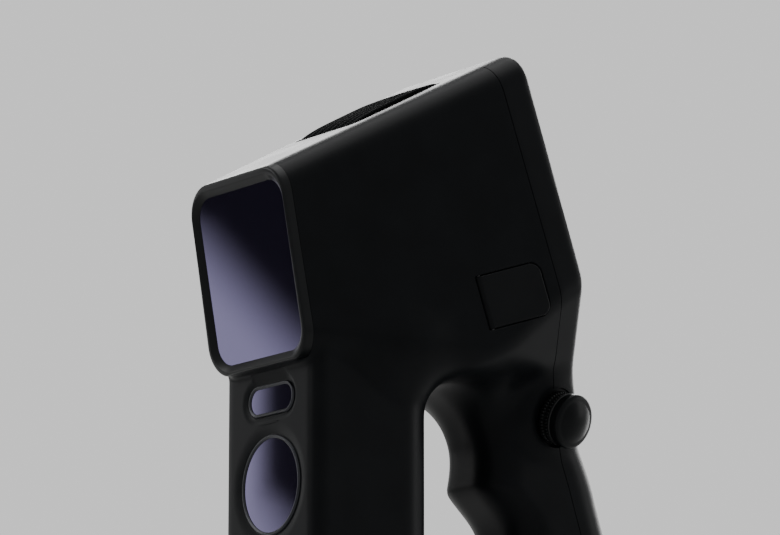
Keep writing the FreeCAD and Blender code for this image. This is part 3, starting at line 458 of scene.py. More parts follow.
SHELL_PLASTIC = Finish("shell_plastic", (0.004, 0.0045, 0.0052), 0.37, size=0.28, depth=0.014, specular=0.05)
RIM_PLASTIC = Finish("rim_plastic", (0.0045, 0.005, 0.0056), 0.36, size=0.28, depth=0.010, specular=0.12)
SOFT_PLASTIC = Finish("soft_cover", (0.0045, 0.005, 0.0056), 0.40, size=0.2, depth=0.012, specular=0.06)
RUBBER = Finish("foot_rubber", (0.012, 0.012, 0.012), 0.85, size=0.5, depth=0.03, specular=0.3)
STEEL = Finish("screw_steel", (0.30, 0.30, 0.31), 0.32, Texture.BRUSHED, 0.12, 0.003, metallic=1.0)
BLACK_STEEL = Finish(
    "black_oxide_screw", (0.05, 0.05, 0.052), 0.38, Texture.BRUSHED, 0.12, 0.003, metallic=1.0)
TRIM_METAL = Finish("trim_anodised", (0.026, 0.027, 0.03), 0.34, Texture.BRUSHED, 0.15, 0.002, metallic=1.0)
BARREL_METAL = Finish(
    "barrel_anodised", (0.012, 0.012, 0.013), 0.5, Texture.BRUSHED, 0.2, 0.004, metallic=0.6)
ALUMINIUM = Finish("aluminium", (0.55, 0.56, 0.57), 0.38, Texture.BRUSHED, 0.2, 0.004, metallic=1.0)
BRASS = Finish("brass", (0.52, 0.36, 0.14), 0.33, Texture.BRUSHED, 0.15, 0.004, metallic=1.0)
MODULE_BLACK = Finish("module_case", (0.018, 0.018, 0.019), 0.55, size=0.35, depth=0.01)
WINDOW_GLASS = Finish(
    "window_glass", (0.006, 0.005, 0.010), 0.03, Texture.CLEAN, 30.0, 0.0, 0.05, specular=1.0,
    transmission=0.12, ior=1.5, tint=(0.46, 0.38, 1.0))
LENS_GLASS = Finish(
    "lens_glass", (0.012, 0.011, 0.03), 0.03, Texture.CLEAN, 30.0, 0.0, 0.05, specular=0.9, coat=1.0,
    tint=(0.62, 0.52, 1.0), ior=1.6)
LED_DOME = Finish(
    "led_dome", (0.55, 0.55, 0.62), 0.12, Texture.CLEAN, 8.0, 0.0, 0.05, transmission=0.6, ior=1.45)
DISPLAY_GLASS = Finish(
    "display_glass", (0.004, 0.004, 0.005), 0.05, Texture.CLEAN, 40.0, 0.0, 0.05, specular=0.6, coat=0.6)
DISPLAY_PANEL = Finish("display_panel", (0.012, 0.014, 0.02), 0.2, Texture.CLEAN, 20.0, 0.0, 0.05)
CIRCUIT_BOARD = Finish("circuit_board", (0.006, 0.03, 0.017), 0.38, Texture.TRACES, 1.6, 0.02, 0.5)
FAN_PLASTIC = Finish("fan_plastic", (0.013, 0.013, 0.014), 0.5, size=0.4, depth=0.01)
BATTERY_WRAP = Finish("battery_wrap", (0.03, 0.05, 0.11), 0.3, Texture.CLEAN, 12.0, 0.0, 0.1)
KNOB_PLASTIC = Finish("knob_plastic", (0.006, 0.0065, 0.007), 0.34, size=0.2, depth=0.006, specular=0.2)
KNOB_CAP = Finish("knob_cap", (0.0045, 0.005, 0.0055), 0.34, size=0.25, depth=0.004, specular=0.05)
GASKET_FOAM = Finish("gasket_foam", (0.008, 0.008, 0.008), 0.95, size=0.6, depth=0.06, specular=0.2)
GRILLE_PLASTIC = Finish("grille_plastic", (0.008, 0.0085, 0.009), 0.85, size=0.25, depth=0.004, specular=0.04)


# ---- from a solid to a piece -----------------------------------------------------------------
@dataclass(frozen=True)
class Tag:
    """How a piece is tied to the CAD model.

    Attributes:
        name: name of the piece.
        slot: material slot of the record; not used.
        node: CAD node that it stands for.
        body: CAD body that it rides on.
    """

    name: str
    slot: str
    node: str
    body: str = "housing"


def mesh_of(name: str, solid: Solid) -> bpy.types.Mesh:
    """A mesh in metres with merged doubles and outward faces."""
    mesh = bpy.data.meshes.new(name)
    mesh.from_pydata((solid.points * MM).tolist(), [], solid.faces)
    work = bmesh.new()
    work.from_mesh(mesh)
    bmesh.ops.remove_doubles(work, verts=work.verts, dist=1e-7)
    bmesh.ops.dissolve_degenerate(work, edges=work.edges, dist=1e-8)
    bmesh.ops.recalc_face_normals(work, faces=work.faces)
    work.to_mesh(mesh)
    work.free()
    return mesh


def object_of(name: str, mesh: bpy.types.Mesh) -> bpy.types.Object:
    """A linked object at the origin that holds the mesh."""
    made = bpy.data.objects.new(name, mesh)
    bpy.context.scene.collection.objects.link(made)
    return made


def smooth(mesh: bpy.types.Mesh, degrees: float) -> None:
    """Smooth shading with edges sharper than an angle kept sharp."""
    mesh.shade_smooth()
    mesh.set_sharp_from_angle(angle=math.radians(degrees))


def finish_piece(made: bpy.types.Object, finish: Finish, tag: Tag) -> None:
    """Give a piece its material and its body, hide the CAD node that it stands for, and report it."""
    made.data.materials.clear()
    made.data.materials.append(finish.material())
    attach(made, tag.body)
    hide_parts(tag.node)
    LOG.info("%s: %d faces on %s", made.name, len(made.data.polygons), tag.body)


def add_piece(solids: Sequence[Solid], finish: Finish, tag: Tag, degrees: float = 32.0) -> None:
    """Build one piece from closed solids that don't overlap."""
    mesh = mesh_of(tag.name, reduce(Solid.joined, solids))
    smooth(mesh, degrees)
    finish_piece(object_of(tag.name, mesh), finish, tag)


def cut(target: bpy.types.Object, tool: bpy.types.Object, operation: str = "DIFFERENCE") -> None:
    """Apply a Boolean with another object, and remove that object."""
    modifier = target.modifiers.new("cut", "BOOLEAN")
    modifier.operation = operation
    modifier.solver = "MANIFOLD"
    modifier.object = tool
    apply_modifiers(target)
    bpy.data.objects.remove(tool)


def carve(target: bpy.types.Object, tool: Solid, operation: str = "DIFFERENCE") -> None:
    """Apply a Boolean with a closed solid to an object's mesh."""
    cut(target, object_of("cutter", mesh_of("cutter", tool)), operation)


def apply_modifiers(target: bpy.types.Object) -> None:
    """Replace an object's mesh by the result of its modifiers, and remove them."""
    bpy.context.view_layer.update()
    evaluated = target.evaluated_get(bpy.context.evaluated_depsgraph_get())
    result = bpy.data.meshes.new_from_object(evaluated)
    target.modifiers.clear()
    target.data = result


# ---- geometry nodes for what repeats ---------------------------------------------------------
def solid_of(mesh: bpy.types.Mesh) -> Solid:
    """A mesh in metres as a solid in millimetres."""
    points = np.zeros(len(mesh.vertices) * 3)
    mesh.vertices.foreach_get("co", points)
    return Solid(points.reshape(-1, 3) / MM, [tuple(face.vertices) for face in mesh.polygons])


class Repeat:
    """Copies of one small mesh, each moved and turned on from the one before."""

    TREE_NAME = "copies_in_step"
    SOCKETS = {
        "Geometry": "Geometry", "Count": "Int", "Start": "Vector", "Step": "Vector", "First Turn": "Vector",
        "Turn": "Vector"}

    def __init__(self) -> None:
        """Find the node tree or build it."""
        self.tree = bpy.data.node_groups.get(self.TREE_NAME) or self._build()

    def _build(self) -> Tree:
        """Points in step, with an instance on each, realised."""
        tree = bpy.data.node_groups.new(self.TREE_NAME, "GeometryNodeTree")
        for name, kind in self.SOCKETS.items():
            tree.interface.new_socket(name, in_out="INPUT", socket_type="NodeSocket" + kind)
        tree.interface.new_socket("Geometry", in_out="OUTPUT", socket_type="NodeSocketGeometry")
        given = add_node(tree, "NodeGroupInput").outputs
        place = self._along(tree, given["Start"], given["Step"])
        angles = self._along(tree, given["First Turn"], given["Turn"])
        points = add_node(tree, "GeometryNodePoints", {"Count": given["Count"], "Position": place})
        turn = add_node(tree, "FunctionNodeEulerToRotation", {"Euler": angles})
        copies = add_node(tree, "GeometryNodeInstanceOnPoints", {
            "Points": points.outputs["Points"], "Instance": given["Geometry"],
            "Rotation": turn.outputs["Rotation"]})
        real = add_node(tree, "GeometryNodeRealizeInstances", {"Geometry": copies.outputs["Instances"]})
        add_node(tree, "NodeGroupOutput", {"Geometry": real.outputs["Geometry"]})
        return tree

    @staticmethod
    def _along(tree: Tree, start: Socket, step: Socket) -> Socket:
        """start + index * step."""
        index = add_node(tree, "GeometryNodeInputIndex").outputs["Index"]
        inputs = {0: index, 1: step, 2: start}
        return add_node(tree, "ShaderNodeVectorMath", inputs, operation="MULTIPLY_ADD").outputs["Vector"]

    def solid(
            self, element: Solid, count: int, start: Triple = (0.0, 0.0, 0.0), step: Triple = (0.0, 0.0, 0.0),
            first_turn: float = 0.0, turn: float = 0.0, place: Place = ROW) -> Solid:
        """The copies as one solid.

        Args:
            element: the solid to copy, in a local frame.
            count: number of copies.
            start: where the first copy's origin lies, in millimetres.
            step: the move from one copy to the next, in millimetres.
            first_turn: turn of the first copy about local Z, in degrees.
            turn: turn from one copy to the next about local Z, in degrees.
            place: the local frame.

        Returns:
            The solid in the row frame, or in the local frame where no place is given.
        """
        made = object_of("copies", mesh_of("copies", element))
        modifier = made.modifiers.new("copies", "NODES")
        modifier.node_group = self.tree
        values = {
            "Count": count, "Start": [value * MM for value in start], "Step": [value * MM for value in step],
            "First Turn": (0.0, 0.0, math.radians(first_turn)), "Turn": (0.0, 0.0, math.radians(turn))}
        for socket in self.tree.interface.items_tree:
            if socket.in_out == "INPUT" and socket.name in values:
                modifier[socket.identifier] = values[socket.name]
        apply_modifiers(made)
        copies = solid_of(made.data)
        bpy.data.objects.remove(made)
        return placed(copies, place)


def placed(solid: Solid, place: Place) -> Solid:
    """A solid moved from a local frame to the row frame."""
    return Solid(place.to_row(solid.points), solid.faces)


# ---- the housing's form as a distance field --------------------------------------------------
def edge_over(a: Array, b: Array, r: float | Array, lean: float = 0.0) -> Array:
    """What lies inside both of two fields, with a convex edge of radius r.

    Args:
        a: distance outside the first surface.
        b: distance outside the second surface.
        r: radius of the edge.
        lean: cosine of the angle between the surfaces' normals.

    Returns:
        Distance outside the rounded edge.
    """
    a, b = a + r, b + r
    corner = (a > lean * b) & (b > lean * a)
    arc = np.sqrt(np.maximum(a * a + b * b - 2 * lean * a * b, 0.0) / (1 - lean * lean))
    return np.where(corner, arc, np.maximum(a, b)) - r


def hollow_between(a: Array, b: Array, r: float | Array) -> Array:
    """What lies inside either of two fields, with a concave fillet of radius r between them."""
    return -edge_over(-a, -b, r)


def cross_section(side: Array, front: Array, rear: Array, radii: Pair) -> Array:
    """Distance outside a bar whose edges have one radius at the front and one at the rear."""
    return np.maximum(edge_over(side, front, radii[0]), edge_over(side, rear, radii[1]))


def bell(step: float, spread: float, reach: int) -> Array:
    """Weights of a Gaussian over reach grid points on either side."""
    weights = np.exp(-0.5 * (np.arange(-reach, reach + 1) * step / spread) ** 2)
    return weights / weights.sum()


def smooth_step(value: Array, low: float, high: float) -> Array:
    """0 below low, 1 above high, and a smooth rise between."""
    t = np.clip((value - low) / (high - low), 0.0, 1.0)
    return t * t * (3 - 2 * t)


@dataclass(frozen=True)
class HousingForm:
    """The outer surface of the housing: head, column, grip and the pad under the knob.

    Every size is in millimetres in the row frame.

    Attributes:
        front_half: half the head's width at the front.
        flare: how much the flanks open for each millimetre rearwards.
        floor: height of the head's underside.
        edge_r: radius of the head's long edges.
        front_r: radius of the edge round the front.
        rear_r: radius of the edge round the rear face.
        crease: how far behind the parting line the rear facet starts.
        band_rear_half: half the width at the rear face.
        funnel_foot: a point on the slanted facet that leads down to the grip.
        funnel_out: direction out of that facet.
        column_half: half width and half depth of the column.
        column_radii: its edges' radii at the front and the rear.
        column_foot: height at which it starts.
        column_cap: height at which it ends inside the head.
        grip_cap: height at which the grip ends inside the head.
        cap_r: radius of the edges of both ends inside the head.
        arch_r: radius of the fillets in the arch between column and grip.
        column_fillet: radius of the fillet in front of the column.
        grip_fillet: radius of the fillet behind the grip.
        grip_radii: the grip's edges' radii at the front and the rear.
        grip_lean: cosine that turns the level distance to the leaning grip into the shortest.
        pad_r: radius of the cone under the knob, at the knob.
        pad_slope: how much the cone widens for each millimetre towards the grip.
        pad_depth: how far the cone reaches into the grip.
        pad_fillet: radius of the fillet round the cone.
        grip_rows: height, front Y, rear Y and half width of level sections of the grip; every
            third one starts a stretch with a curve of its own.
    """

    front_half: float = 28.6
    flare: float = 0.115
    floor: float = 128.0
    edge_r: float = 11.0
    front_r: float = 1.3
    rear_r: float = 2.0
    crease: float = 0.2
    band_rear_half: float = 39.0
    funnel_foot: Triple = (17.8, 79.7, 121.2)
    funnel_out: Triple = (0.845, 0.30, -0.44)
    column_half: Pair = (27.6, 25.3)
    column_radii: Pair = (4.0, 13.0)
    column_foot: float = 0.6
    column_cap: float = 140.0
    grip_cap: float = 132.0
    cap_r: float = 2.0
    arch_r: float = 14.0
    column_fillet: float = 1.2
    grip_fillet: float = 2.0
    grip_radii: Pair = (12.0, 13.0)
    grip_lean: float = 0.96
    pad_r: float = 12.2
    pad_slope: float = 0.41
    pad_depth: float = 12.0
    pad_fillet: float = 8.0
    grip_rows: tuple[tuple[float, float, float, float], ...] = (
        (0.0, 90.5, 131.3, 17.9), (30.0, 81.7, 123.2, 17.5), (54.0, 75.0, 117.1, 17.5),
        (78.0, 68.4, 110.7, 17.5), (84.0, 65.2, 108.9, 17.5), (89.6, 59.6, 107.1, 17.5),
        (94.4, 55.0, 105.7, 17.6), (100.0, 56.0, 103.9, 17.4), (107.0, 56.0, 101.3, 16.9),
        (114.0, 53.4, 98.4, 16.2), (126.0, 48.0, 93.0, 15.6), (138.0, 44.0, 87.0, 15.6))

    @cached_property
    def grip_tracks(self) -> tuple[Array, Array]:
        """Heights, and the grip's front, rear and half width at each of them."""
        step, spread, reach = 0.25, 0.7, 12
        heights = np.arange(-8.0, 138.01, step)
        values = np.zeros((3, len(heights)))
        for first in range(0, len(self.grip_rows) - 1, 3):
            rows = np.array(self.grip_rows[first:first + 4])
            inside = heights >= (rows[0, 0] if first else heights[0])
            z = np.maximum(heights[inside], 0.0)
            for column in range(3):
                curve = np.polynomial.Polynomial.fit(rows[:, 0], rows[:, column + 1], len(rows) - 1)
                values[column, inside] = curve(z)
        kernel = bell(step, spread, reach)
        padded = np.pad(values, ((0, 0), (reach, reach)), mode="edge")
        return heights, np.array([np.convolve(row, kernel, mode="valid") for row in padded])

    def head(self, p: Array) -> Array:
        """The head block."""
        side = np.abs(p[:, 0])
        mirrored = np.column_stack([side, p[:, 1:]])
        flank_out = unit((1.0, -self.flare, 0.0))
        flank = (mirrored - (self.front_half, FRONT.origin[1], 0.0)) @ flank_out
        flank = np.maximum(flank, self._band(mirrored, flank_out))
        funnel_out = unit(self.funnel_out)
        funnel = (mirrored - self.funnel_foot) @ funnel_out
        body = edge_over(flank, funnel, self.edge_r, float(flank_out @ funnel_out))
        # for each further face: distance outside it, radius of its edges, and the cosine between
        # its normal and those of the faces that it meets
        faces = (
            ((p - TOP.origin) @ unit(TOP_SKIN_OUT), self.edge_r, 0.05),
            (self.floor - p[:, 2], self.edge_r, 0.0),
            ((p - REAR.origin) @ unit(REAR_OUT), self.rear_r, -0.1),
            ((p - FRONT.origin) @ unit(FRONT_OUT), self.front_r, 0.15))
        for distance, r, lean in faces:
            body = edge_over(body, distance, r, lean)
        return body

    def _band(self, p: Array, flank_out: Array) -> Array:
        """The facet behind the parting line."""
        crease = []
        for z in (230.0, 160.0):
            y = height_on(SEAM, z) + self.crease
            crease.append(np.array([self.front_half + self.flare * (y - FRONT.origin[1]), y, z]))
        rear = np.array([self.band_rear_half, height_on(REAR, 200.0), 200.0])
        out = unit(np.cross(crease[1] - crease[0], rear - crease[0]))
        return (p - crease[0]) @ (out if out @ flank_out > 0 else -out)

    def column(self, p: Array) -> Array:
        """The upright bar with the optics, capped inside the head."""
        x, y, z = p.T
        width, depth = self.column_half
        body = cross_section(np.abs(x) - width, -y - depth, y - depth, self.column_radii)
        body = edge_over(body, z - self.column_cap, self.cap_r)
        return edge_over(body, self.column_foot - z, 1.0)

    def grip(self, p: Array) -> Array:
        """The grip, capped inside the head."""
        heights, tracks = self.grip_tracks
        x, y, z = p.T
        front, rear, half = (np.interp(z, heights, track) for track in tracks)
        before, behind = (front - y) * self.grip_lean, (y - rear) * self.grip_lean
        body = cross_section(np.abs(x) - half, before, behind, self.grip_radii)
        body = edge_over(body, z - self.grip_cap, self.cap_r)
        return edge_over(body, -z, 1.2)

    def knob_pad(self, p: Array) -> Array:
        """The low cone under the knob."""
        x, y, z = KNOB_FACE.to_local(p).T
        cosine = 0.925
        cone = (np.hypot(x, y) - self.pad_r + self.pad_slope * z) * cosine
        return np.maximum(edge_over(cone, z, 0.6), -self.pad_depth - z)

    def outside(self, p: Array) -> Array:
        """Distance outside the whole housing."""
        y = p[:, 1]
        rise = self.arch_r - self.column_fillet
        form = hollow_between(
            self.head(p), self.column(p), self.column_fillet + rise * smooth_step(y, -18.0, 10.0))
        rise = self.arch_r - self.grip_fillet
        form = hollow_between(
            form, self.grip(p), self.grip_fillet + rise * (1.0 - smooth_step(y, 56.0, 80.0)))
        return hollow_between(form, self.knob_pad(p), self.pad_fillet)


CORNERS = [np.array((i, j, k)) for k, j, i in product((0, 1), repeat=3)]


@dataclass
class Lattice:
    """Values of a field on a regular grid.

    Attributes:
        origin: the first grid point, in millimetres.
        step: distance between grid points, in millimetres.
        values: the field at the grid points.
    """

    origin: Array
    step: float
    values: Array

    @classmethod
    def sampled(
            cls, field_of: Callable[[Array], Array], low: Sequence[float], high: Sequence[float],
            step: float) -> "Lattice":
        """The field sampled between two corners, one slice at a time."""
        axes = [np.arange(low[axis], high[axis] + step, step) for axis in range(3)]
        y, z = (part.ravel() for part in np.meshgrid(axes[1], axes[2], indexing="ij"))
        values = np.empty((len(axes[0]), len(axes[1]), len(axes[2])))
        for index, x in enumerate(axes[0]):
            flat = field_of(np.column_stack([np.full(len(y), x), y, z]))
            values[index] = flat.reshape(len(axes[1]), len(axes[2]))
        return cls(np.array(low, float), step, values)

    def softened(self, spread: float) -> "Lattice":
        """The lattice blurred by a Gaussian of that spread in millimetres."""
        reach = 2
        weights = bell(self.step, spread, reach)
        values = self.values
        for axis in range(3):
            margin = [(reach, reach) if axis == other else (0, 0) for other in range(3)]
            wide = np.pad(values, margin, mode="reflect", reflect_type="odd")
            count = values.shape[axis]
            values = sum(
                weight * np.take(wide, np.arange(shift, shift + count), axis=axis)
                for shift, weight in enumerate(weights))
        return Lattice(self.origin, self.step, values)

    def at(self, points: Array) -> Array:
        """The field at any points, by interpolation."""
        place = (points - self.origin) / self.step
        top = np.array(self.values.shape) - 2
        cell = np.clip(np.floor(place).astype(int), 0, top)
        share = place - cell
        total = np.zeros(len(points))
        for bits in CORNERS:
            weight = np.prod(np.where(bits, share, 1 - share), axis=1)
            total += weight * self.values[tuple((cell + bits).T)]
        return total

    def slope(self, points: Array) -> Array:
        """The field's gradient at any points."""
        columns = []
        for axis in range(3):
            shift = np.zeros(3)
            shift[axis] = self.step
            columns.append((self.at(points + shift) - self.at(points - shift)) / (2 * self.step))
        return np.column_stack(columns)

    def surface(self, settle: int = 3) -> Solid:
        """The closed surface where the field is zero, with its faces outwards.

        Args:
            settle: steps in which the points are drawn onto the surface.

        Returns:
            The surface as a solid of four-sided faces.
        """
        inside = self.values < 0
        shape = np.array(self.values.shape) - 1
        corners = np.zeros(shape, int)
        for i, j, k in CORNERS:
            corners += inside[i:i + shape[0], j:j + shape[1], k:k + shape[2]]
        active = (corners > 0) & (corners < 8)
        cells = np.argwhere(active)
        number = np.full(shape, -1)
        number[active] = np.arange(len(cells))
        points = self.origin + (cells + self._crossings(cells)) * self.step
        flattest = 0.2
        for _ in range(settle):
            slope = self.slope(points)
            points = points - slope * (self.at(points) / np.maximum((slope ** 2).sum(1), flattest))[:, None]
        return Solid(points, self._faces(inside, number))

    def _crossings(self, cells: Array) -> Array:
        """Mean of the places where the surface crosses each cell's edges."""
        total = np.zeros(cells.shape)
        count = np.zeros(len(cells))
        for axis, first, second in product(range(3), (0, 1), (0, 1)):
            start, along = np.zeros((2, 3), int)
            start[(axis + 1) % 3], start[(axis + 2) % 3] = first, second
            along[axis] = 1
            low = self.values[tuple((cells + start).T)]
            high = self.values[tuple((cells + start + along).T)]
            crossed = (low < 0) != (high < 0)
            share = low[crossed] / (low[crossed] - high[crossed])
            total[crossed] += start + share[:, None] * along
            count[crossed] += 1
        return total / count[:, None]

    @staticmethod
    def _faces(inside: Array, number: Array) -> list[tuple[int, ...]]:
        """A face round every grid edge that crosses the surface."""
        faces = []
        for axis in range(3):
            u, v = (axis + 1) % 3, (axis + 2) % 3
            low = np.moveaxis(inside, axis, 0)[:-1]
            high = np.moveaxis(inside, axis, 0)[1:]
            crossed = np.argwhere(np.moveaxis(low != high, 0, axis))
            keep = (crossed[:, u] > 0) & (crossed[:, v] > 0)
            keep &= (crossed[:, u] < number.shape[u]) & (crossed[:, v] < number.shape[v])
            crossed = crossed[keep]
            ring = []
            for du, dv in ((1, 1), (0, 1), (0, 0), (1, 0)):
                cell = crossed.copy()
                cell[:, u] -= du
                cell[:, v] -= dv
                ring.append(number[tuple(cell.T)])
            quads = np.column_stack(ring)
            outward = inside[tuple(crossed.T)]
            quads[~outward] = quads[~outward][:, ::-1]
            faces += [tuple(quad) for quad in quads.tolist()]
        return faces


# ---- the housing's shells --------------------------------------------------------------------
class Window(Enum):
    """The column's three windows: height, straight length, hole radius and lens radius."""

    PILL = (118.1, 16.0, 4.9, 0.0)
    PROJECTOR = (89.0, 0.0, 16.6, 11.4)
    LOWER = (40.0, 0.0, 12.4, 7.4)


@dataclass
class Housing:
    """Main shell, rear shell and front bezel, cut from one skin.

    Attributes:
        form: the outer form.
        step: spacing of the grid that the skin is read from.
        ease: spread of the blur that eases the skin's creases.
        inner_ease: spread of the blur of the room inside.
        wall: thickness of the shells.
        seam_gap: width of the parting line.
        knob_clear: radius round the knob's axis that the parting line leaves whole.
        bezel_depth: depth of the rim's seat.
        bezel_gap: gap between the rim and its seat.
        bezel_floor: local Y at which the rim's lower side is cut straight.
        rim_back: depth of the rim's rear edge.
        rim_slope: depth over which the head's slope is read for the rim.
        rim_edge: radius of the rim's outer edge.
        rim_steps: number of points round the rim.
    """

    form: HousingForm = field(default_factory=HousingForm)
    step: float = 1.15
    ease: float = 0.85
    inner_ease: float = 1.6
    wall: float = 2.4
    seam_gap: float = 0.28
    knob_clear: float = 10.1
    bezel_depth: float = 3.6
    bezel_gap: float = 0.3
    bezel_floor: float = -32.15
    rim_back: float = -3.45
    rim_slope: float = 1.15
    rim_edge: float = 0.9
    rim_steps: int = 240

    @cached_property
    def skin(self) -> Lattice:
        """The outer form with its creases eased."""
        low, high = (-43.7, -46.0, -5.0), (43.7, 136.0, 245.0)
        return Lattice.sampled(self.form.outside, low, high, self.step).softened(self.ease)

    def _thick_spots(self, p: Array) -> Array:
        """Distance outside the places where the wall is thicker inside."""
        tub = np.abs(PORT.to_local(p) - (0.0, 0.0, -4.0)) - (17.5, 13.0, 5.5)
        spots = [np.max(tub, axis=1)]
        # bosses of the grip's screws and of the knob: place, radius and height of the middle
        bosses = [(grip_screw_place(side), 5.2, 14.0) for side in (1, -1)] + [(KNOB_FACE, 13.5, 0.0)]
        half_length = 7.0
        for place, r, middle in bosses:
            x, y, z = place.to_local(p).T
            spots.append(np.maximum(np.hypot(x, y) - r, np.abs(z - middle) - half_length))
        return np.min(spots, axis=0)

    def _cavity(self) -> Solid:
        """The room inside the housing, its faces turned towards the room."""
        coarse = self.skin.values[::2, ::2, ::2]
        lattice = Lattice(self.skin.origin, self.step * 2, coarse + self.wall)
        axes = [lattice.origin[axis] + np.arange(coarse.shape[axis]) * lattice.step for axis in range(3)]
        grid = np.stack(np.meshgrid(*axes, indexing="ij"), -1).reshape(-1, 3)
        front = (grid - FRONT.origin) @ unit(FRONT_OUT) + self.bezel_depth + self.wall
        room = np.maximum(lattice.values.ravel(), np.where(grid[:, 2] > self.form.floor, front, -99.0))
        room = np.maximum(room, -self._thick_spots(grid))
        lattice.values = room.reshape(coarse.shape)
        inner = lattice.softened(self.inner_ease).surface(settle=0)
        return Solid(inner.points, [face[::-1] for face in inner.faces])

    def _window_tools(self) -> list[Solid]:
        """A bore with a shallow flared dish for each window of the column."""
        tools = []
        for window in Window:
            z, straight, r, _ = window.value
            reach = 3.4 if straight else 5.3
            profile = softened([(0.0, -6.5), (0.0, -1.1), (0.9, -1.1), (reach, 0.0), (reach + 1.2, 0.4)], 0.7)
            profile.append((reach + 1.2, 2.0))
            tools.append(loft(stadium(straight, r), profile, COLUMN_FACE.shifted(0.0, z)))
        return tools

    def _face_tools(self) -> list[Solid]:
        """Cutters of the front, vent, port, display, button, knob and screws."""
        vent = [(0.0, -5.0), (0.0, -0.35), (0.35, 0.0), (0.35, 4.0)]
        port = [(0.0, -5.2), (0.0, -0.25), (0.25, 0.0), (0.25, 5.0)]
        button = [(0.0, -6.0), (0.0, -0.3), (0.3, 0.0), (0.3, 3.0)]
        display = [(-6.8, -6.0), (-6.8, -1.5), (0.0, -1.5)] + button[1:]
        seat = [(-6.35, -16.0), (-6.35, 0.0), (0.0, 0.0), (0.0, 40.0)]
        screw = [(-1.0, -1.0), (-1.0, 11.0), (0.0, 11.0), (0.0, 40.0)]
        cuts = [
            (rounded(GRILLE[0] + 0.5, GRILLE[1] + 0.5, 2.4), vent, TOP),
            (rounded(PORT_LID[0] + 0.6, PORT_LID[1] + 0.6, (4.3, 0.7, 0.7, 4.3)), port, PORT),
            (rounded(SCREEN[0] + 0.6, SCREEN[1] + 0.6, 5.3), display, REAR),
            (circle(BUTTON_R + 0.1), button, BUTTON), (circle(10.35), seat, KNOB_FACE)]
        cuts += [(circle(2.45, 48), screw, grip_screw_place(side)) for side in (1, -1)]
        return [self._front_tool()] + [loft(*cut) for cut in cuts]

    def _half_space(self, z: float, knob_r: float) -> bpy.types.Object:
        """Everything behind a plane parallel to the parting plane, apart from the zone of the knob."""
        solid = prism(rounded(200.0, 520.0, 1.0), z, 90.0, SEAM)
        behind = object_of("behind", mesh_of("behind", solid))
        carve(behind, prism(circle(knob_r), -14.0, 60.0, KNOB_FACE))
        return behind

    def _exact_normals(self, made: bpy.types.Object) -> None:
        """Shade the outer skin by the field's own slope, so that no cut shows in its curves."""
        mesh = made.data
        smooth(mesh, 30.0)
        points = solid_of(mesh).points
        value = self.skin.at(points)
        slope = self.skin.slope(points)
        slope /= np.maximum(np.linalg.norm(slope, axis=1), 1e-6)[:, None]
        corner = np.zeros(len(mesh.loops), int)
        mesh.loops.foreach_get("vertex_index", corner)
        totals = np.zeros(len(mesh.polygons), int)
        mesh.polygons.foreach_get("loop_total", totals)
        flat = np.zeros(len(mesh.polygons) * 3)
        mesh.polygons.foreach_get("normal", flat)
        face = np.repeat(flat.reshape(-1, 3), totals, axis=0)
        nearness, alignment = 0.05, 0.8
        on_skin = np.abs(value[corner]) < nearness
        aligned = (face * slope[corner]).sum(1) > alignment
        normals = np.where((on_skin & aligned)[:, None], slope[corner], 0.0)
        mesh.normals_split_custom_set(normals.tolist())

    def _front_tool(self) -> Solid:
        """A cutter of the rim's seat and of the room behind the window."""
        room = rounded(48.6, 55.6, 7.0)(0.0)
        seat = self._front_outline(-self.bezel_depth)
        seat *= 1 + self.bezel_gap / np.linalg.norm(seat[:, :2], axis=1)[:, None]
        seat[:, 1] = np.maximum(seat[:, 1], self.bezel_floor - 0.05)
        rows = [self._at_angles(room, z) for z in (-9.0, -self.bezel_depth)]
        rows += [at_height(seat[:, :2], z) for z in (-self.bezel_depth, 30.0)]
        return rows_solid([FRONT.to_row(row) for row in rows])

    def _bezel(self) -> None:
        """The rim round the front window, drawn as rows round the head's front."""
        edge = self.rim_edge
        back, deep = (self._front_outline(z) for z in (self.rim_back, self.rim_back - self.rim_slope))
        rows = []
        for z in (self.rim_back, -2.6, -1.8, *(-share * edge for share in (1.0, 0.7, 0.45, 0.22, 0.07, 0.0))):
            row = back + (back - deep) * (z - self.rim_back) / self.rim_slope
            inset = edge - math.sqrt(max(edge * edge - max(z + edge, 0.0) ** 2, 0.0))
            row *= 1 - inset / np.linalg.norm(row[:, :2], axis=1)[:, None]
            row[:, 1] = np.maximum(row[:, 1], self.bezel_floor + inset)
            row[:, 2] = z
            rows.append(row)
        inner = (
            (1.35, -0.01), (1.1, -0.05), (0.9, -0.2), (-1.0, -1.5), (-1.1, -1.66), (0.05, -1.68),
            (0.05, -3.3), (0.3, -3.5))
        rim = rounded(*FRONT_GLASS, 40)
        rows += [self._at_angles(rim(grow), z) for grow, z in inner]
        last = rows[0].copy()
        last[:, :2] *= 0.995
        last[:, 2] = inner[-1][1]
        rows.append(last)
        solid = rows_solid([FRONT.to_row(row) for row in rows], True)
        add_piece([solid], RIM_PLASTIC, Tag("front_rim", "housing", "front_bezel"), degrees=40.0)

    @property
    def _turns(self) -> Array:
        """Angles round the middle of the front, one for each point of a row."""
        return np.linspace(0.0, 2 * math.pi, self.rim_steps, endpoint=False)

    def _front_outline(self, z: float) -> Array:
        """Where the head's surface lies at each angle round the middle of the front, at a depth."""
        turn = self._turns
        spokes = np.column_stack([np.cos(turn), np.sin(turn), np.zeros(len(turn))])
        # the surface lies between these two reaches, which are halved until they meet
        low, high = np.full(len(turn), 20.0), np.full(len(turn), 60.0)
        for _ in range(22):
            middle = (low + high) / 2
            outside = self.form.head(FRONT.to_row(spokes * middle[:, None] + (0.0, 0.0, z))) > 0
            low, high = np.where(outside, low, middle), np.where(outside, middle, high)
        return spokes * low[:, None] + (0.0, 0.0, z)

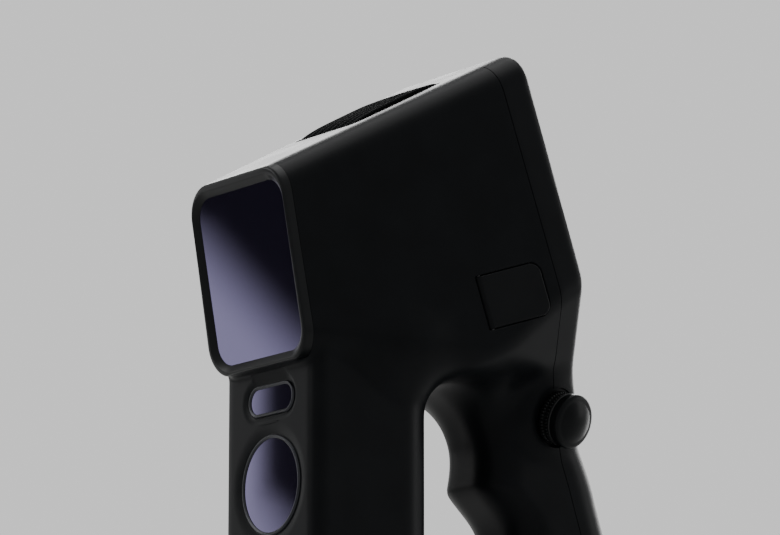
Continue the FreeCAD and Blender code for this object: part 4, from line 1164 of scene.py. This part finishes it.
    def _at_angles(self, flat: Array, z: float) -> Array:
        """An outline read at the angles of the rim's rows, as a row at a height."""
        angle = np.arctan2(flat[:, 1], flat[:, 0]) % (2 * math.pi)
        order = np.argsort(angle)
        angle = np.concatenate([angle[order] + shift for shift in (-2 * math.pi, 0.0, 2 * math.pi)])
        read = [np.interp(self._turns, angle, np.tile(flat[order, axis], 3)) for axis in range(2)]
        return at_height(np.transpose(read), z)

    def build(self) -> None:
        """Build the skin, cut it and split it."""
        whole = self.skin.surface().joined(self._cavity())
        made = object_of("main_shell", bpy.data.meshes.new("main_shell"))
        made.data.from_pydata((whole.points * MM).tolist(), [], whole.faces)
        LOG.info("skin: %d faces", len(made.data.polygons))
        carve(made, reduce(Solid.joined, self._window_tools() + self._face_tools()))
        column_end = prism(rounded(50.4, 45.8, (10.6, 10.6, 1.7, 1.7)), -4.0, 6.0, ROW)
        grip_end = prism(rounded(90.0, 90.0, 1.0), -9.0, 6.12, ROW.shifted(0.0, 105.0))
        for tool in (column_end, grip_end):
            carve(made, tool)
        rear = object_of("rear_shell", made.data.copy())
        cut(made, self._half_space(-self.seam_gap / 2, self.knob_clear))
        cut(rear, self._half_space(self.seam_gap / 2, self.knob_clear + self.seam_gap), "INTERSECT")
        for x, y in ((1, 1), (-1, 1), (1, -1), (-1, -1)):
            place = REAR.shifted(x * SHELL_SCREW_X, y * SHELL_SCREW_Y)
            carve(rear, prism(circle(2.4), -9.0, -1.4, place))
        for shell, node in ((made, "main_housing"), (rear, "rear_housing")):
            self._exact_normals(shell)
            finish_piece(shell, SHELL_PLASTIC, Tag(shell.name, "housing", node))
        self._bezel()


# ---- front window and the camera behind it ---------------------------------------------------
@dataclass
class FrontOptics:
    """Glass, ring of lamps and upper camera."""

    lamp_circle: float = 19.8
    lamp_r: float = 5.7
    lamps: int = 6

    def build(self) -> None:
        """Build the window, the lamps' lenses and the camera's barrel and lens."""
        glass = block(rounded(*FRONT_GLASS), -2.8, -1.7, FRONT, 0.15)
        add_piece([glass], WINDOW_GLASS, Tag("upper_glass", "window_glass", "upper_window"), degrees=15.0)
        lamp = domed(self.lamp_r, 1.8, -14.0, -10.0, ROW.shifted(self.lamp_circle, 0.0))
        lamps = Repeat().solid(lamp, self.lamps, first_turn=30.0, turn=360.0 / self.lamps, place=FRONT)
        add_piece([lamps], LED_DOME, Tag("lamp_lenses", "led", "led_lenses"))
        profile = [
            (0.0, -7.2), (0.0, -29.8), (-5.6, -29.8), (-5.6, -13.0), (-3.6, -13.0), (-3.6, -12.0),
            (-3.0, -12.0), (-3.0, -10.9), (-2.4, -10.9), (-2.4, -9.4), (-1.4, -7.2)]
        barrel = loft(circle(10.6), softened(profile, 0.2, True), FRONT, True)
        add_piece([barrel], BARREL_METAL, Tag("upper_barrel", "dark_metal", "upper_lens_barrel"))
        lens = domed(6.9, 2.2, -12.9, -11.4, FRONT)
        add_piece([lens], LENS_GLASS, Tag("upper_lens", "lens_glass", "upper_camera_lens"))


# ---- windows of the column -------------------------------------------------------------------
@dataclass
class ColumnOptics:
    """Trim rings, glasses, barrels and lenses of the column."""

    ledge: float = 0.7
    barrels: dict[Window, tuple[str, float]] = field(
        default_factory=lambda: {Window.PROJECTOR: ("projector", 15.0), Window.LOWER: ("lower_camera", 10.6)})

    def build(self) -> None:
        """Build every window."""
        for window in Window:
            self._trim(window)
        for window, (name, barrel_r) in self.barrels.items():
            self._barrel(window, name, barrel_r)

    def _trim(self, window: Window) -> None:
        """Trim ring with a chamfered mouth, and the glass in it."""
        z, straight, r, _ = window.value
        name = window.name.lower()
        place = COLUMN_FACE.shifted(0.0, z)
        seat = self.ledge - 0.3
        profile = [
            (0.6, -1.05), (0.6, -0.95), (0.25, -0.45), (-0.05, -0.4), (-self.ledge, -0.75),
            (-self.ledge, -0.88), (-seat, -0.88), (-seat, -3.9), (-0.02, -3.9), (-0.02, -1.05)]
        ring = loft(stadium(straight, r), softened(profile, 0.12, True, 2), place, True)
        add_piece([ring], TRIM_METAL, Tag(name + "_ring", "dark_metal", name + "_trim"), degrees=25.0)
        glass = block(stadium(straight, r - seat - 0.06), -2.1, -0.92, place, 0.12)
        add_piece([glass], WINDOW_GLASS, Tag(name + "_glass", "window_glass", name + "_window"), degrees=15.0)

    def _barrel(self, window: Window, name: str, barrel_r: float) -> None:
        """Stepped lens barrel with its front lens."""
        z, _, _, lens_r = window.value
        place = COLUMN_FACE.shifted(0.0, z)
        mouth = lens_r + 1.3 - barrel_r
        throat = lens_r - 3.0 - barrel_r
        seat = lens_r + 0.1 - barrel_r
        profile = [
            (0.0, -4.8), (0.0, -20.0), (throat, -20.0), (throat, -10.85), (seat, -10.85), (seat, -8.0),
            (seat + 0.5, -8.0), (seat + 0.5, -6.6), (mouth, -6.6), (mouth + 0.3, -4.8)]
        barrel = loft(circle(barrel_r), softened(profile, 0.2, True), place, True)
        add_piece([barrel], BARREL_METAL, Tag(name + "_sleeve", "dark_metal", name + "_barrel"))
        lens = domed(lens_r, 2.4, -10.8, -8.8, place)
        add_piece([lens], LENS_GLASS, Tag(name + "_front_lens", "lens_glass", name + "_lens"))


# ---- vent and fan ----------------------------------------------------------------------------
@dataclass
class Vent:
    """Grille of the top face, and the fan's rotor under it."""

    slats: int = 8
    teeth: int = 36
    crown: float = 1.7
    blades: int = 7

    def build(self) -> None:
        """Build the grille and the fan."""
        self._grille()
        self._rotor()

    def _grille(self) -> None:
        """A low frame, and toothed slats from front to rear that rise to a crown."""
        width, height, _ = GRILLE
        profile = [(0.0, -2.35), (0.0, -0.75), (-0.25, -0.5), (-0.9, -0.5), (-1.15, -0.75), (-1.15, -2.35)]
        solids = [loft(rounded(*GRILLE), softened(profile, 0.1, True, 2), TOP, True)]
        pitch = (width - 2.3) / self.slats
        ridge = (height - 0.6) / self.teeth
        first = -ridge * (self.teeth - 1) / 2
        section = [(-1.1, -2.3), (1.1, -2.3), (1.05, -0.4), (0.45, 0.0), (-0.45, 0.0), (-1.05, -0.4)]
        tooth = bar(section, ridge * 0.72)
        spine = bar([(-0.9, -2.32), (0.9, -2.32), (0.9, -0.75), (-0.9, -0.75)], height - 2.0)
        for index in range(self.slats):
            x = (index + 0.5 - self.slats / 2) * pitch
            teeth = Repeat().solid(tooth, self.teeth, (x, first, 0.0), (0.0, ridge, 0.0))
            for solid in (teeth, Solid(spine.points + (x, 0.0, 0.0), spine.faces)):
                solids.append(placed(Solid(self._crowned(solid.points), solid.faces), TOP))
        add_piece(solids, GRILLE_PLASTIC, Tag("top_grille", "housing", "vent_grille"))

    def _crowned(self, points: Array) -> Array:
        """Points lifted towards the middle of the grille."""
        width, height, _ = GRILLE
        share = (1 - 0.25 * (2 * points[:, 0] / width) ** 2) * (1 - (2 * points[:, 1] / height) ** 4)
        lift = self.crown * np.clip(share, 0.0, 1.0) * smooth_step(points[:, 2], -2.2, -0.5)
        return points + lift[:, None] * (0.0, 0.0, 1.0)

    def _rotor(self) -> None:
        """Hub and swept blades."""
        profile = softened([(-2.0, -12.3), (0.0, -12.3), (0.0, -6.6), (-6.0, -6.6)], 0.6)
        hub = loft(circle(6.6), profile, TOP)
        rows = []
        for share in np.linspace(0.0, 1.0, 7):
            reach = 6.0 + 8.8 * share
            flat = self._blade_section(5.2 + 2.4 * share, math.radians(52 - 16 * share))
            angle = 0.35 * share + flat[:, 0] / reach
            rows.append(np.column_stack([reach * np.cos(angle), reach * np.sin(angle), flat[:, 1] - 9.6]))
        blades = Repeat().solid(rows_solid(rows), self.blades, turn=360.0 / self.blades, place=TOP)
        add_piece([hub, blades], FAN_PLASTIC, Tag("rotor", "fan", "fan_rotor", "fan"), degrees=40.0)

    @staticmethod
    def _blade_section(chord: float, tilt: float) -> Array:
        """A cambered section of a blade, along and across the direction in which it moves."""
        section = []
        for side in (1, -1):
            for t in np.linspace(-0.5, 0.5, 7)[::side]:
                camber = 0.55 * (0.25 - t * t) + side * 0.32 * math.sqrt(max(0.26 - t * t, 0.0))
                along = t * chord * math.cos(tilt) + camber * math.sin(tilt)
                across = -t * chord * math.sin(tilt) + camber * math.cos(tilt)
                section.append((along, np.clip(across, -2.4, 2.4)))
        return np.array(section)


# ---- knob ------------------------------------------------------------------------------------
@dataclass
class Knob:
    """Ribbed skirt in two rows and a smooth domed cap.

    Attributes:
        r: outer radius of the skirt.
        ribs: number of ribs round it.
        rib_depth: height of a rib.
        rows: where each row of ribs starts and ends along the axis.
        cap_edge: width of the cap's rounded shoulder.
        cap_top: height of the cap's middle.
        cap_ball: radius of its crowned face.
    """

    r: float = 9.35
    ribs: int = 48
    rib_depth: float = 0.6
    rows: tuple[Pair, ...] = ((1.05, 2.95), (3.15, 5.05))
    cap_edge: float = 2.0
    cap_top: float = 12.0
    cap_ball: float = 16.0

    def build(self) -> None:
        """Build the skirt and the cap."""
        root = self.r - self.rib_depth
        lip = self.rib_depth
        profile = [
            (-0.35, 0.9), (0.0, 1.15), (0.0, 5.1), (lip - 0.15, 5.2), (lip, 5.35), (lip, 5.9),
            (lip - 0.35, 6.28), (-2.2, 6.28), (-2.2, 4.55), (-1.9, 0.9)]
        solids = [loft(circle(root, 144), softened(profile, 0.12, True, 2), KNOB_FACE, True)]
        for z0, z1 in self.rows:
            rib = self._rib(root, z0, z1)
            solids.append(Repeat().solid(rib, self.ribs, turn=360.0 / self.ribs, place=KNOB_FACE))
        add_piece(solids, KNOB_PLASTIC, Tag("ribbed_skirt", "knob", "knob_skirt", "knob"), degrees=40.0)
        self._cap()

    def _rib(self, root: float, z0: float, z1: float) -> Solid:
        """One rib along the knob's axis with sloped ends."""
        half = math.pi / self.ribs * root * 0.55
        slope = ((0.0, 0.15), (0.25, 0.85), (0.4, 1.0))
        ends = [(z0 + z, share) for z, share in slope] + [(z1 - z, share) for z, share in reversed(slope)]
        rows = []
        for z, share in ends:
            top = root + self.rib_depth * share
            section = [(root - 0.2, -half), (root + (top - root) * 0.5, -half), (top, -half * 0.35)]
            section += [(x, -y) for x, y in section[::-1]]
            rows.append(at_height(section, z))
        return rows_solid(rows)

    def _cap(self) -> None:
        """A plain cap: short upright wall, rounded shoulder and crowned face."""
        r = self.r + 0.15
        profile = [(-r + 3.2, 3.6), (-r + 3.2, 6.34), (-0.35, 6.34), (-0.1, 6.5)]
        crown = [(r - self.cap_edge) * share for share in np.linspace(1.0, 0.02, 16)]
        ball = self.cap_ball
        heights = [self.cap_top - ball + math.sqrt(ball * ball - reach * reach) for reach in crown]
        rise = self.cap_edge * 0.62
        for angle in np.linspace(0.0, math.pi / 2, 7)[:-1]:
            wall = heights[0] - rise
            profile.append((self.cap_edge * (math.cos(angle) - 1), wall + rise * math.sin(angle)))
        profile += [(reach - r, z) for reach, z in zip(crown, heights)]
        cap = loft(circle(r, 144), profile, KNOB_FACE)
        add_piece([cap], KNOB_CAP, Tag("domed_cap", "knob", "knob_cap", "knob"), degrees=28.0)


# ---- port cover ------------------------------------------------------------------------------
@dataclass
class PortCover:
    """The hinged cover over the sockets."""

    hinge_r: float = 1.9

    def build(self) -> None:
        """Build the lid with its softened rim and its barrel."""
        width, height = PORT_LID
        r, half = self.hinge_r, height / 2
        rim = [
            (-0.3, -1.8), (0.0, -1.5), (0.0, -0.5), (-0.12, -0.2), (-0.4, -0.02), (-0.55, 0.0), (-0.7, 0.0)]
        plate = loft(rounded(width, height, (4.0, 0.4, 0.4, 4.0)), rim, PORT)
        lid = object_of("port_lid", mesh_of("port_lid", plate))
        axis = PORT.shifted(r - width / 2, 0.0, -r)
        along = Place(axis.origin, tuple(PORT.axes[1]), tuple(PORT.axes[2]))
        ends = [(-0.2, -half), (0.0, 0.2 - half), (0.0, half - 0.2), (-0.2, half)]
        barrel = loft(circle(r - 0.02, 40), ends, along)
        carve(lid, prism(rounded(4.0, height + 2.0, 0.2), -3.0, 2.0, PORT.shifted(-width / 2 - 0.1, 0.0)))
        carve(lid, barrel, "UNION")
        carve(lid, prism(circle(0.86, 32), -20.0, 20.0, along))
        smooth(lid.data, 30.0)
        finish_piece(lid, SOFT_PLASTIC, Tag("port_lid", "soft_cover", "port_cover", "port_cover"))


# ---- rear face -------------------------------------------------------------------------------
@dataclass
class RearFace:
    """Display glass, power button and the screws of the rear shell."""

    screw_r: float = 2.2

    def build(self) -> None:
        """Build the glass, the button and the screws."""
        glass = block(rounded(*SCREEN), -1.5, -0.1, REAR, 0.35)
        add_piece([glass], DISPLAY_GLASS, Tag("screen_glass", "display_glass", "display_glass"), degrees=15.0)
        rim, hollow = 0.78, 0.35
        profile = [
            (-0.3, -3.8), (0.9, -3.8), (0.9, -3.3), (0.0, -3.3), (0.0, 0.25), (-0.15, 0.6), (-0.5, rim)]
        for share in (0.72, 0.5, 0.28, 0.03):
            profile.append((BUTTON_R * (share - 1), rim - hollow * (1 - share ** 2)))
        cap = loft(circle(BUTTON_R - 0.05, 72), profile, BUTTON)
        add_piece([cap], SOFT_PLASTIC, Tag("button_cap", "knob", "power_button", "power_button"))
        self._screws()

    def _screws(self) -> None:
        """Socket-head screws: four under the glass and two in the grip."""
        x, z = GRIP_SCREWS
        solids = []
        for y in (-SHELL_SCREW_Y, SHELL_SCREW_Y):
            start, step = (-SHELL_SCREW_X, y, -3.1), (2 * SHELL_SCREW_X, 0.0, 0.0)
            solids.append(Repeat().solid(self._screw(12.0), 2, start, step, place=REAR))
        start, step = (-x, 0.0, 11.0), (2 * x, 0.0, 0.0)
        solids.append(Repeat().solid(self._screw(18.0), 2, start, step, place=seam_place(0.0, z)))
        add_piece(solids, BLACK_STEEL, Tag("shell_screws", "steel", "housing_screws"))

    def _screw(self, length: float) -> Solid:
        """A cap screw with its seat at local zero."""
        r, steps = self.screw_r, 24
        shank = ((0.7, -length), (1.0, 0.4 - length), (1.0, 0.0), (r, 0.0), (r, 1.35), (r - 0.25, 1.6))
        rings = [(circle(radius, steps), z) for radius, z in shank]
        rings += [(hexagon(size, steps), z) for size, z in ((2.5, 1.6), (2.4, 0.6), (0.1, 0.5))]
        return rows_solid([at_height(ring(0.0), z) for ring, z in rings])


# ---- foot of the column ----------------------------------------------------------------------
@dataclass
class Foot:
    """Rubber foot with drainage grooves and the threaded insert."""

    grooves: int = 9
    pitch: float = 4.6
    threads: int = 15
    lead: float = 0.65

    def build(self) -> None:
        """Build the foot and the insert."""
        pad = block(rounded(44.7, 39.7, 7.9), 0.0, 2.35, ROW, 0.4)
        foot = object_of("rubber_foot", mesh_of("rubber_foot", pad))
        carve(foot, loft(circle(13.15), [(0.6, -1.0), (0.6, 0.0), (0.0, 0.6), (0.0, 4.0)], ROW))
        groove = bar([(-0.5, -1.0), (0.5, -1.0), (0.25, 0.5), (-0.25, 0.5)], 36.0)
        first = -self.pitch * (self.grooves - 1) / 2
        carve(foot, Repeat().solid(groove, self.grooves, (first, 0.0, 0.0), (self.pitch, 0.0, 0.0)))
        smooth(foot.data, 30.0)
        finish_piece(foot, RUBBER, Tag("rubber_foot", "rubber", "column_foot"))
        profile = [(0.0, 0.25), (0.0, 10.8), (-0.2, 11.0), (-1.2, 11.0), (-1.65, 10.6)]
        for turn in range(self.threads):
            z = 10.1 - self.lead * turn
            profile += [(-2.04, z), (-1.68, z - self.lead / 2)]
        profile += [(-1.5, 0.05), (-0.25, 0.05)]
        insert = loft(circle(4.6, 64), profile, ROW, True)
        add_piece([insert], BRASS, Tag("threaded_insert", "brass", "tripod_insert"), degrees=20.0)


# ---- CAD pieces that are shown as they are ---------------------------------------------------
CARRIED: dict[Finish, tuple[str, ...]] = {
    SHELL_PLASTIC: ("grip_collar", "column_base", "battery_door"),
    STEEL: (
        "frame_screws", "board_screws", "knob_shaft", "encoder_plunger", "encoder_dome", "usb_socket",
        "charging_jack"),
    BLACK_STEEL: ("port_hinge_pin", "door_hinge_pin"),
    GASKET_FOAM: ("window_gasket",),
    CIRCUIT_BOARD: ("led_board", "main_board", "button_switch"),
    MODULE_BLACK: (
        "upper_camera", "projector_module", "lower_camera_module", "laser_sensor", "processor",
        "encoder_body"),
    ALUMINIUM: ("optical_frame", "heat_sink"),
    FAN_PLASTIC: ("fan_frame",),
    DISPLAY_PANEL: ("display_panel",),
    BRASS: ("knob_bush", "battery_contacts"),
    BATTERY_WRAP: ("battery_pack",),
}


def dress_carried() -> None:
    """Give every CAD node that stays in view its finish."""
    for finish, names in CARRIED.items():
        for name in names:
            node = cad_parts[name]
            node.data.materials.clear()
            node.data.materials.append(finish.material())
            LOG.info("%s: carried over", name)


# ---- stage -----------------------------------------------------------------------------------
@dataclass(frozen=True)
class Lamp:
    """A soft rectangular lamp: its place, what it faces, its size and its power."""

    name: str
    at: Triple
    target: Triple
    size: Pair
    power: float

    def build(self) -> None:
        """Add the lamp, unseen by the camera."""
        data = bpy.data.lights.new(self.name, "AREA")
        data.shape = "RECTANGLE"
        data.size, data.size_y = (side * MM for side in self.size)
        data.energy = self.power
        aimed(self.name, data, self.at, self.target).visible_camera = False


LAMPS = (
    Lamp("key_panel", (-700.0, -900.0, 700.0), (0.0, 0.0, 150.0), (700.0, 700.0), 8.0),
    Lamp("rear_panel", (420.0, 880.0, 330.0), (0.0, 60.0, 150.0), (240.0, 560.0), 1.6),
    Lamp("back_left", (-720.0, 465.0, 555.0), (0.0, 20.0, 220.0), (500.0, 500.0), 5.0),
    Lamp("back_right", (-330.0, 860.0, 300.0), (0.0, 60.0, 150.0), (500.0, 600.0), 4.0),
    Lamp("overhead", (0.0, 100.0, 1100.0), (0.0, 20.0, 200.0), (800.0, 800.0), 6.0))


def aimed(name: str, data: bpy.types.ID, at: Triple, target: Triple) -> bpy.types.Object:
    """A camera or lamp at a place, facing a target, both in millimetres."""
    made = object_of(name, data)
    made.location = Vector(at) * MM
    made.rotation_euler = (Vector(target) - Vector(at)).to_track_quat("-Z", "Y").to_euler()
    return made


@dataclass
class Studio:
    """Pale floor and surround, soft lamps and the camera.

    Attributes:
        eye: place of the camera.
        target: what the camera looks at.
        lens: its focal length.
        pale: brightness of the surround where it is seen.
        ambient: brightness of its light.
        floor_reach: half the floor's side, in metres.
        card_x: X of the glowing card.
        card_glow: strength of its glow.
        card_y: its reach along Y and the number of points.
        card_z: its reach along Z and the number of points.
        knee: height at which the slanted edge of its glow bends.
    """

    eye: Triple = (1193.1, -826.6, -121.2)
    target: Triple = (0.0, 24.5, 168.9)
    lens: float = 200.0
    pale: float = 0.86
    ambient: float = 0.4
    floor_reach: float = 4.0
    card_x: float = -600.0
    card_glow: float = 2.9
    card_y: tuple[float, float, int] = (-900.0, -60.0, 169)
    card_z: tuple[float, float, int] = (4.0, 520.0, 87)
    knee: float = 183.0

    def build(self) -> None:
        """Build the camera, the floor, the surround and the lamps."""
        self._camera()
        self._floor()
        self._world()
        self._graded_card()
        for lamp in LAMPS:
            lamp.build()

    def _glow(self, y: Array, z: Array) -> Array:
        """The card's glow at each point: a soft slanted edge towards -Y, and a fade on the other sides."""
        bend = z - self.knee
        slanted = np.where(bend > 0, 1.2, 0.58) * bend - 454.0
        edge = np.maximum(smooth_step(y, -431.5, -410.5), smooth_step(y - slanted, 0.0, 52.0))
        rear = 1 - smooth_step(y, -260.0, -90.0)
        high = 1 - smooth_step(z, 300.0, 480.0)
        return edge * rear * high * smooth_step(z, 10.0, 100.0) * self.card_glow

    def _graded_card(self) -> None:
        """A glowing card on the left that the camera sees only in reflections."""
        y, z = (part.ravel() for part in np.meshgrid(
            np.linspace(*self.card_y), np.linspace(*self.card_z), indexing="ij"))
        corner = np.arange(len(y)).reshape(self.card_y[2], self.card_z[2])
        quads = np.stack([corner[:-1, :-1], corner[:-1, 1:], corner[1:, 1:], corner[1:, :-1]], -1)
        points = np.column_stack([np.full(len(y), self.card_x), y, z])
        mesh = bpy.data.meshes.new("graded_card")
        mesh.from_pydata((points * MM).tolist(), [], quads.reshape(-1, 4).tolist())
        mesh.attributes.new("glow", "FLOAT", "POINT").data.foreach_set("value", self._glow(y, z))
        made, tree = self._prop("graded_card", mesh, (0.01, 0.01, 0.01))
        shader = tree.nodes["Principled BSDF"]
        shader.inputs["Emission Color"].default_value = (1.0, 1.0, 1.0, 1.0)
        level = add_node(tree, "ShaderNodeAttribute", attribute_name="glow")
        tree.links.new(level.outputs["Fac"], shader.inputs["Emission Strength"])
        made.visible_camera = False

    @staticmethod
    def _prop(name: str, mesh: bpy.types.Mesh, colour: Triple) -> tuple[bpy.types.Object, Tree]:
        """A staged object with a matt material, and that material's node tree."""
        made = object_of(name, mesh)
        material = bpy.data.materials.new(name)
        material.use_nodes = True
        tree = material.node_tree
        shader = tree.nodes["Principled BSDF"]
        shader.inputs["Base Color"].default_value = (*colour, 1.0)
        shader.inputs["Roughness"].default_value = 0.9
        mesh.materials.append(material)
        return made, tree

    def _camera(self) -> None:
        """A long lens that looks slightly up at the scanner."""
        data = bpy.data.cameras.new("view")
        data.lens = self.lens
        data.sensor_width = 36.0
        data.clip_end = 50.0
        bpy.context.scene.camera = aimed("view", data, self.eye, self.target)

    def _floor(self) -> None:
        """A pale floor that is clear from below."""
        mesh = bpy.data.meshes.new("floor")
        reach = self.floor_reach
        corners = [(-reach, -reach, 0.0), (reach, -reach, 0.0), (reach, reach, 0.0), (-reach, reach, 0.0)]
        mesh.from_pydata(corners, [], [(0, 1, 2, 3)])
        _, tree = self._prop("floor", mesh, (0.8, 0.8, 0.79))
        mix = add_node(tree, "ShaderNodeMixShader", {
            0: add_node(tree, "ShaderNodeNewGeometry").outputs["Backfacing"],
            1: tree.nodes["Principled BSDF"].outputs["BSDF"],
            2: add_node(tree, "ShaderNodeBsdfTransparent").outputs["BSDF"]})
        tree.links.new(mix.outputs["Shader"], tree.nodes["Material Output"].inputs["Surface"])

    def _world(self) -> None:
        """A dim even light, seen as a pale surround, also in reflections and through glass."""
        world = bpy.data.worlds.new("surround")
        bpy.context.scene.world = world
        world.use_nodes = True
        tree = world.node_tree
        tree.nodes.clear()
        white, pale = (1.0, 1.0, 1.0, 1.0), (self.pale, self.pale, self.pale, 1.0)
        lit = add_node(tree, "ShaderNodeBackground", {"Color": white, "Strength": self.ambient})
        seen = add_node(tree, "ShaderNodeBackground", {"Color": pale})
        path = add_node(tree, "ShaderNodeLightPath").outputs
        direct = path["Is Camera Ray"]
        for kind in ("Is Glossy Ray", "Is Transmission Ray"):
            inputs = {0: direct, 1: path[kind]}
            direct = add_node(tree, "ShaderNodeMath", inputs, operation="MAXIMUM").outputs[0]
        mix = add_node(tree, "ShaderNodeMixShader", {0: direct, 1: lit.outputs[0], 2: seen.outputs[0]})
        add_node(tree, "ShaderNodeOutputWorld", {"Surface": mix.outputs[0]})


def main() -> None:
    """Build every sub-assembly, dress what is carried over, and light the stage."""
    logging.basicConfig(level=logging.INFO, format="%(name)s: %(message)s")
    for kind in (Housing, FrontOptics, ColumnOptics, Vent, Knob, PortCover, RearFace, Foot):
        kind().build()
        LOG.info("built %s", kind.__name__)
    dress_carried()
    Studio().build()


if __name__ == "__main__":
    main()
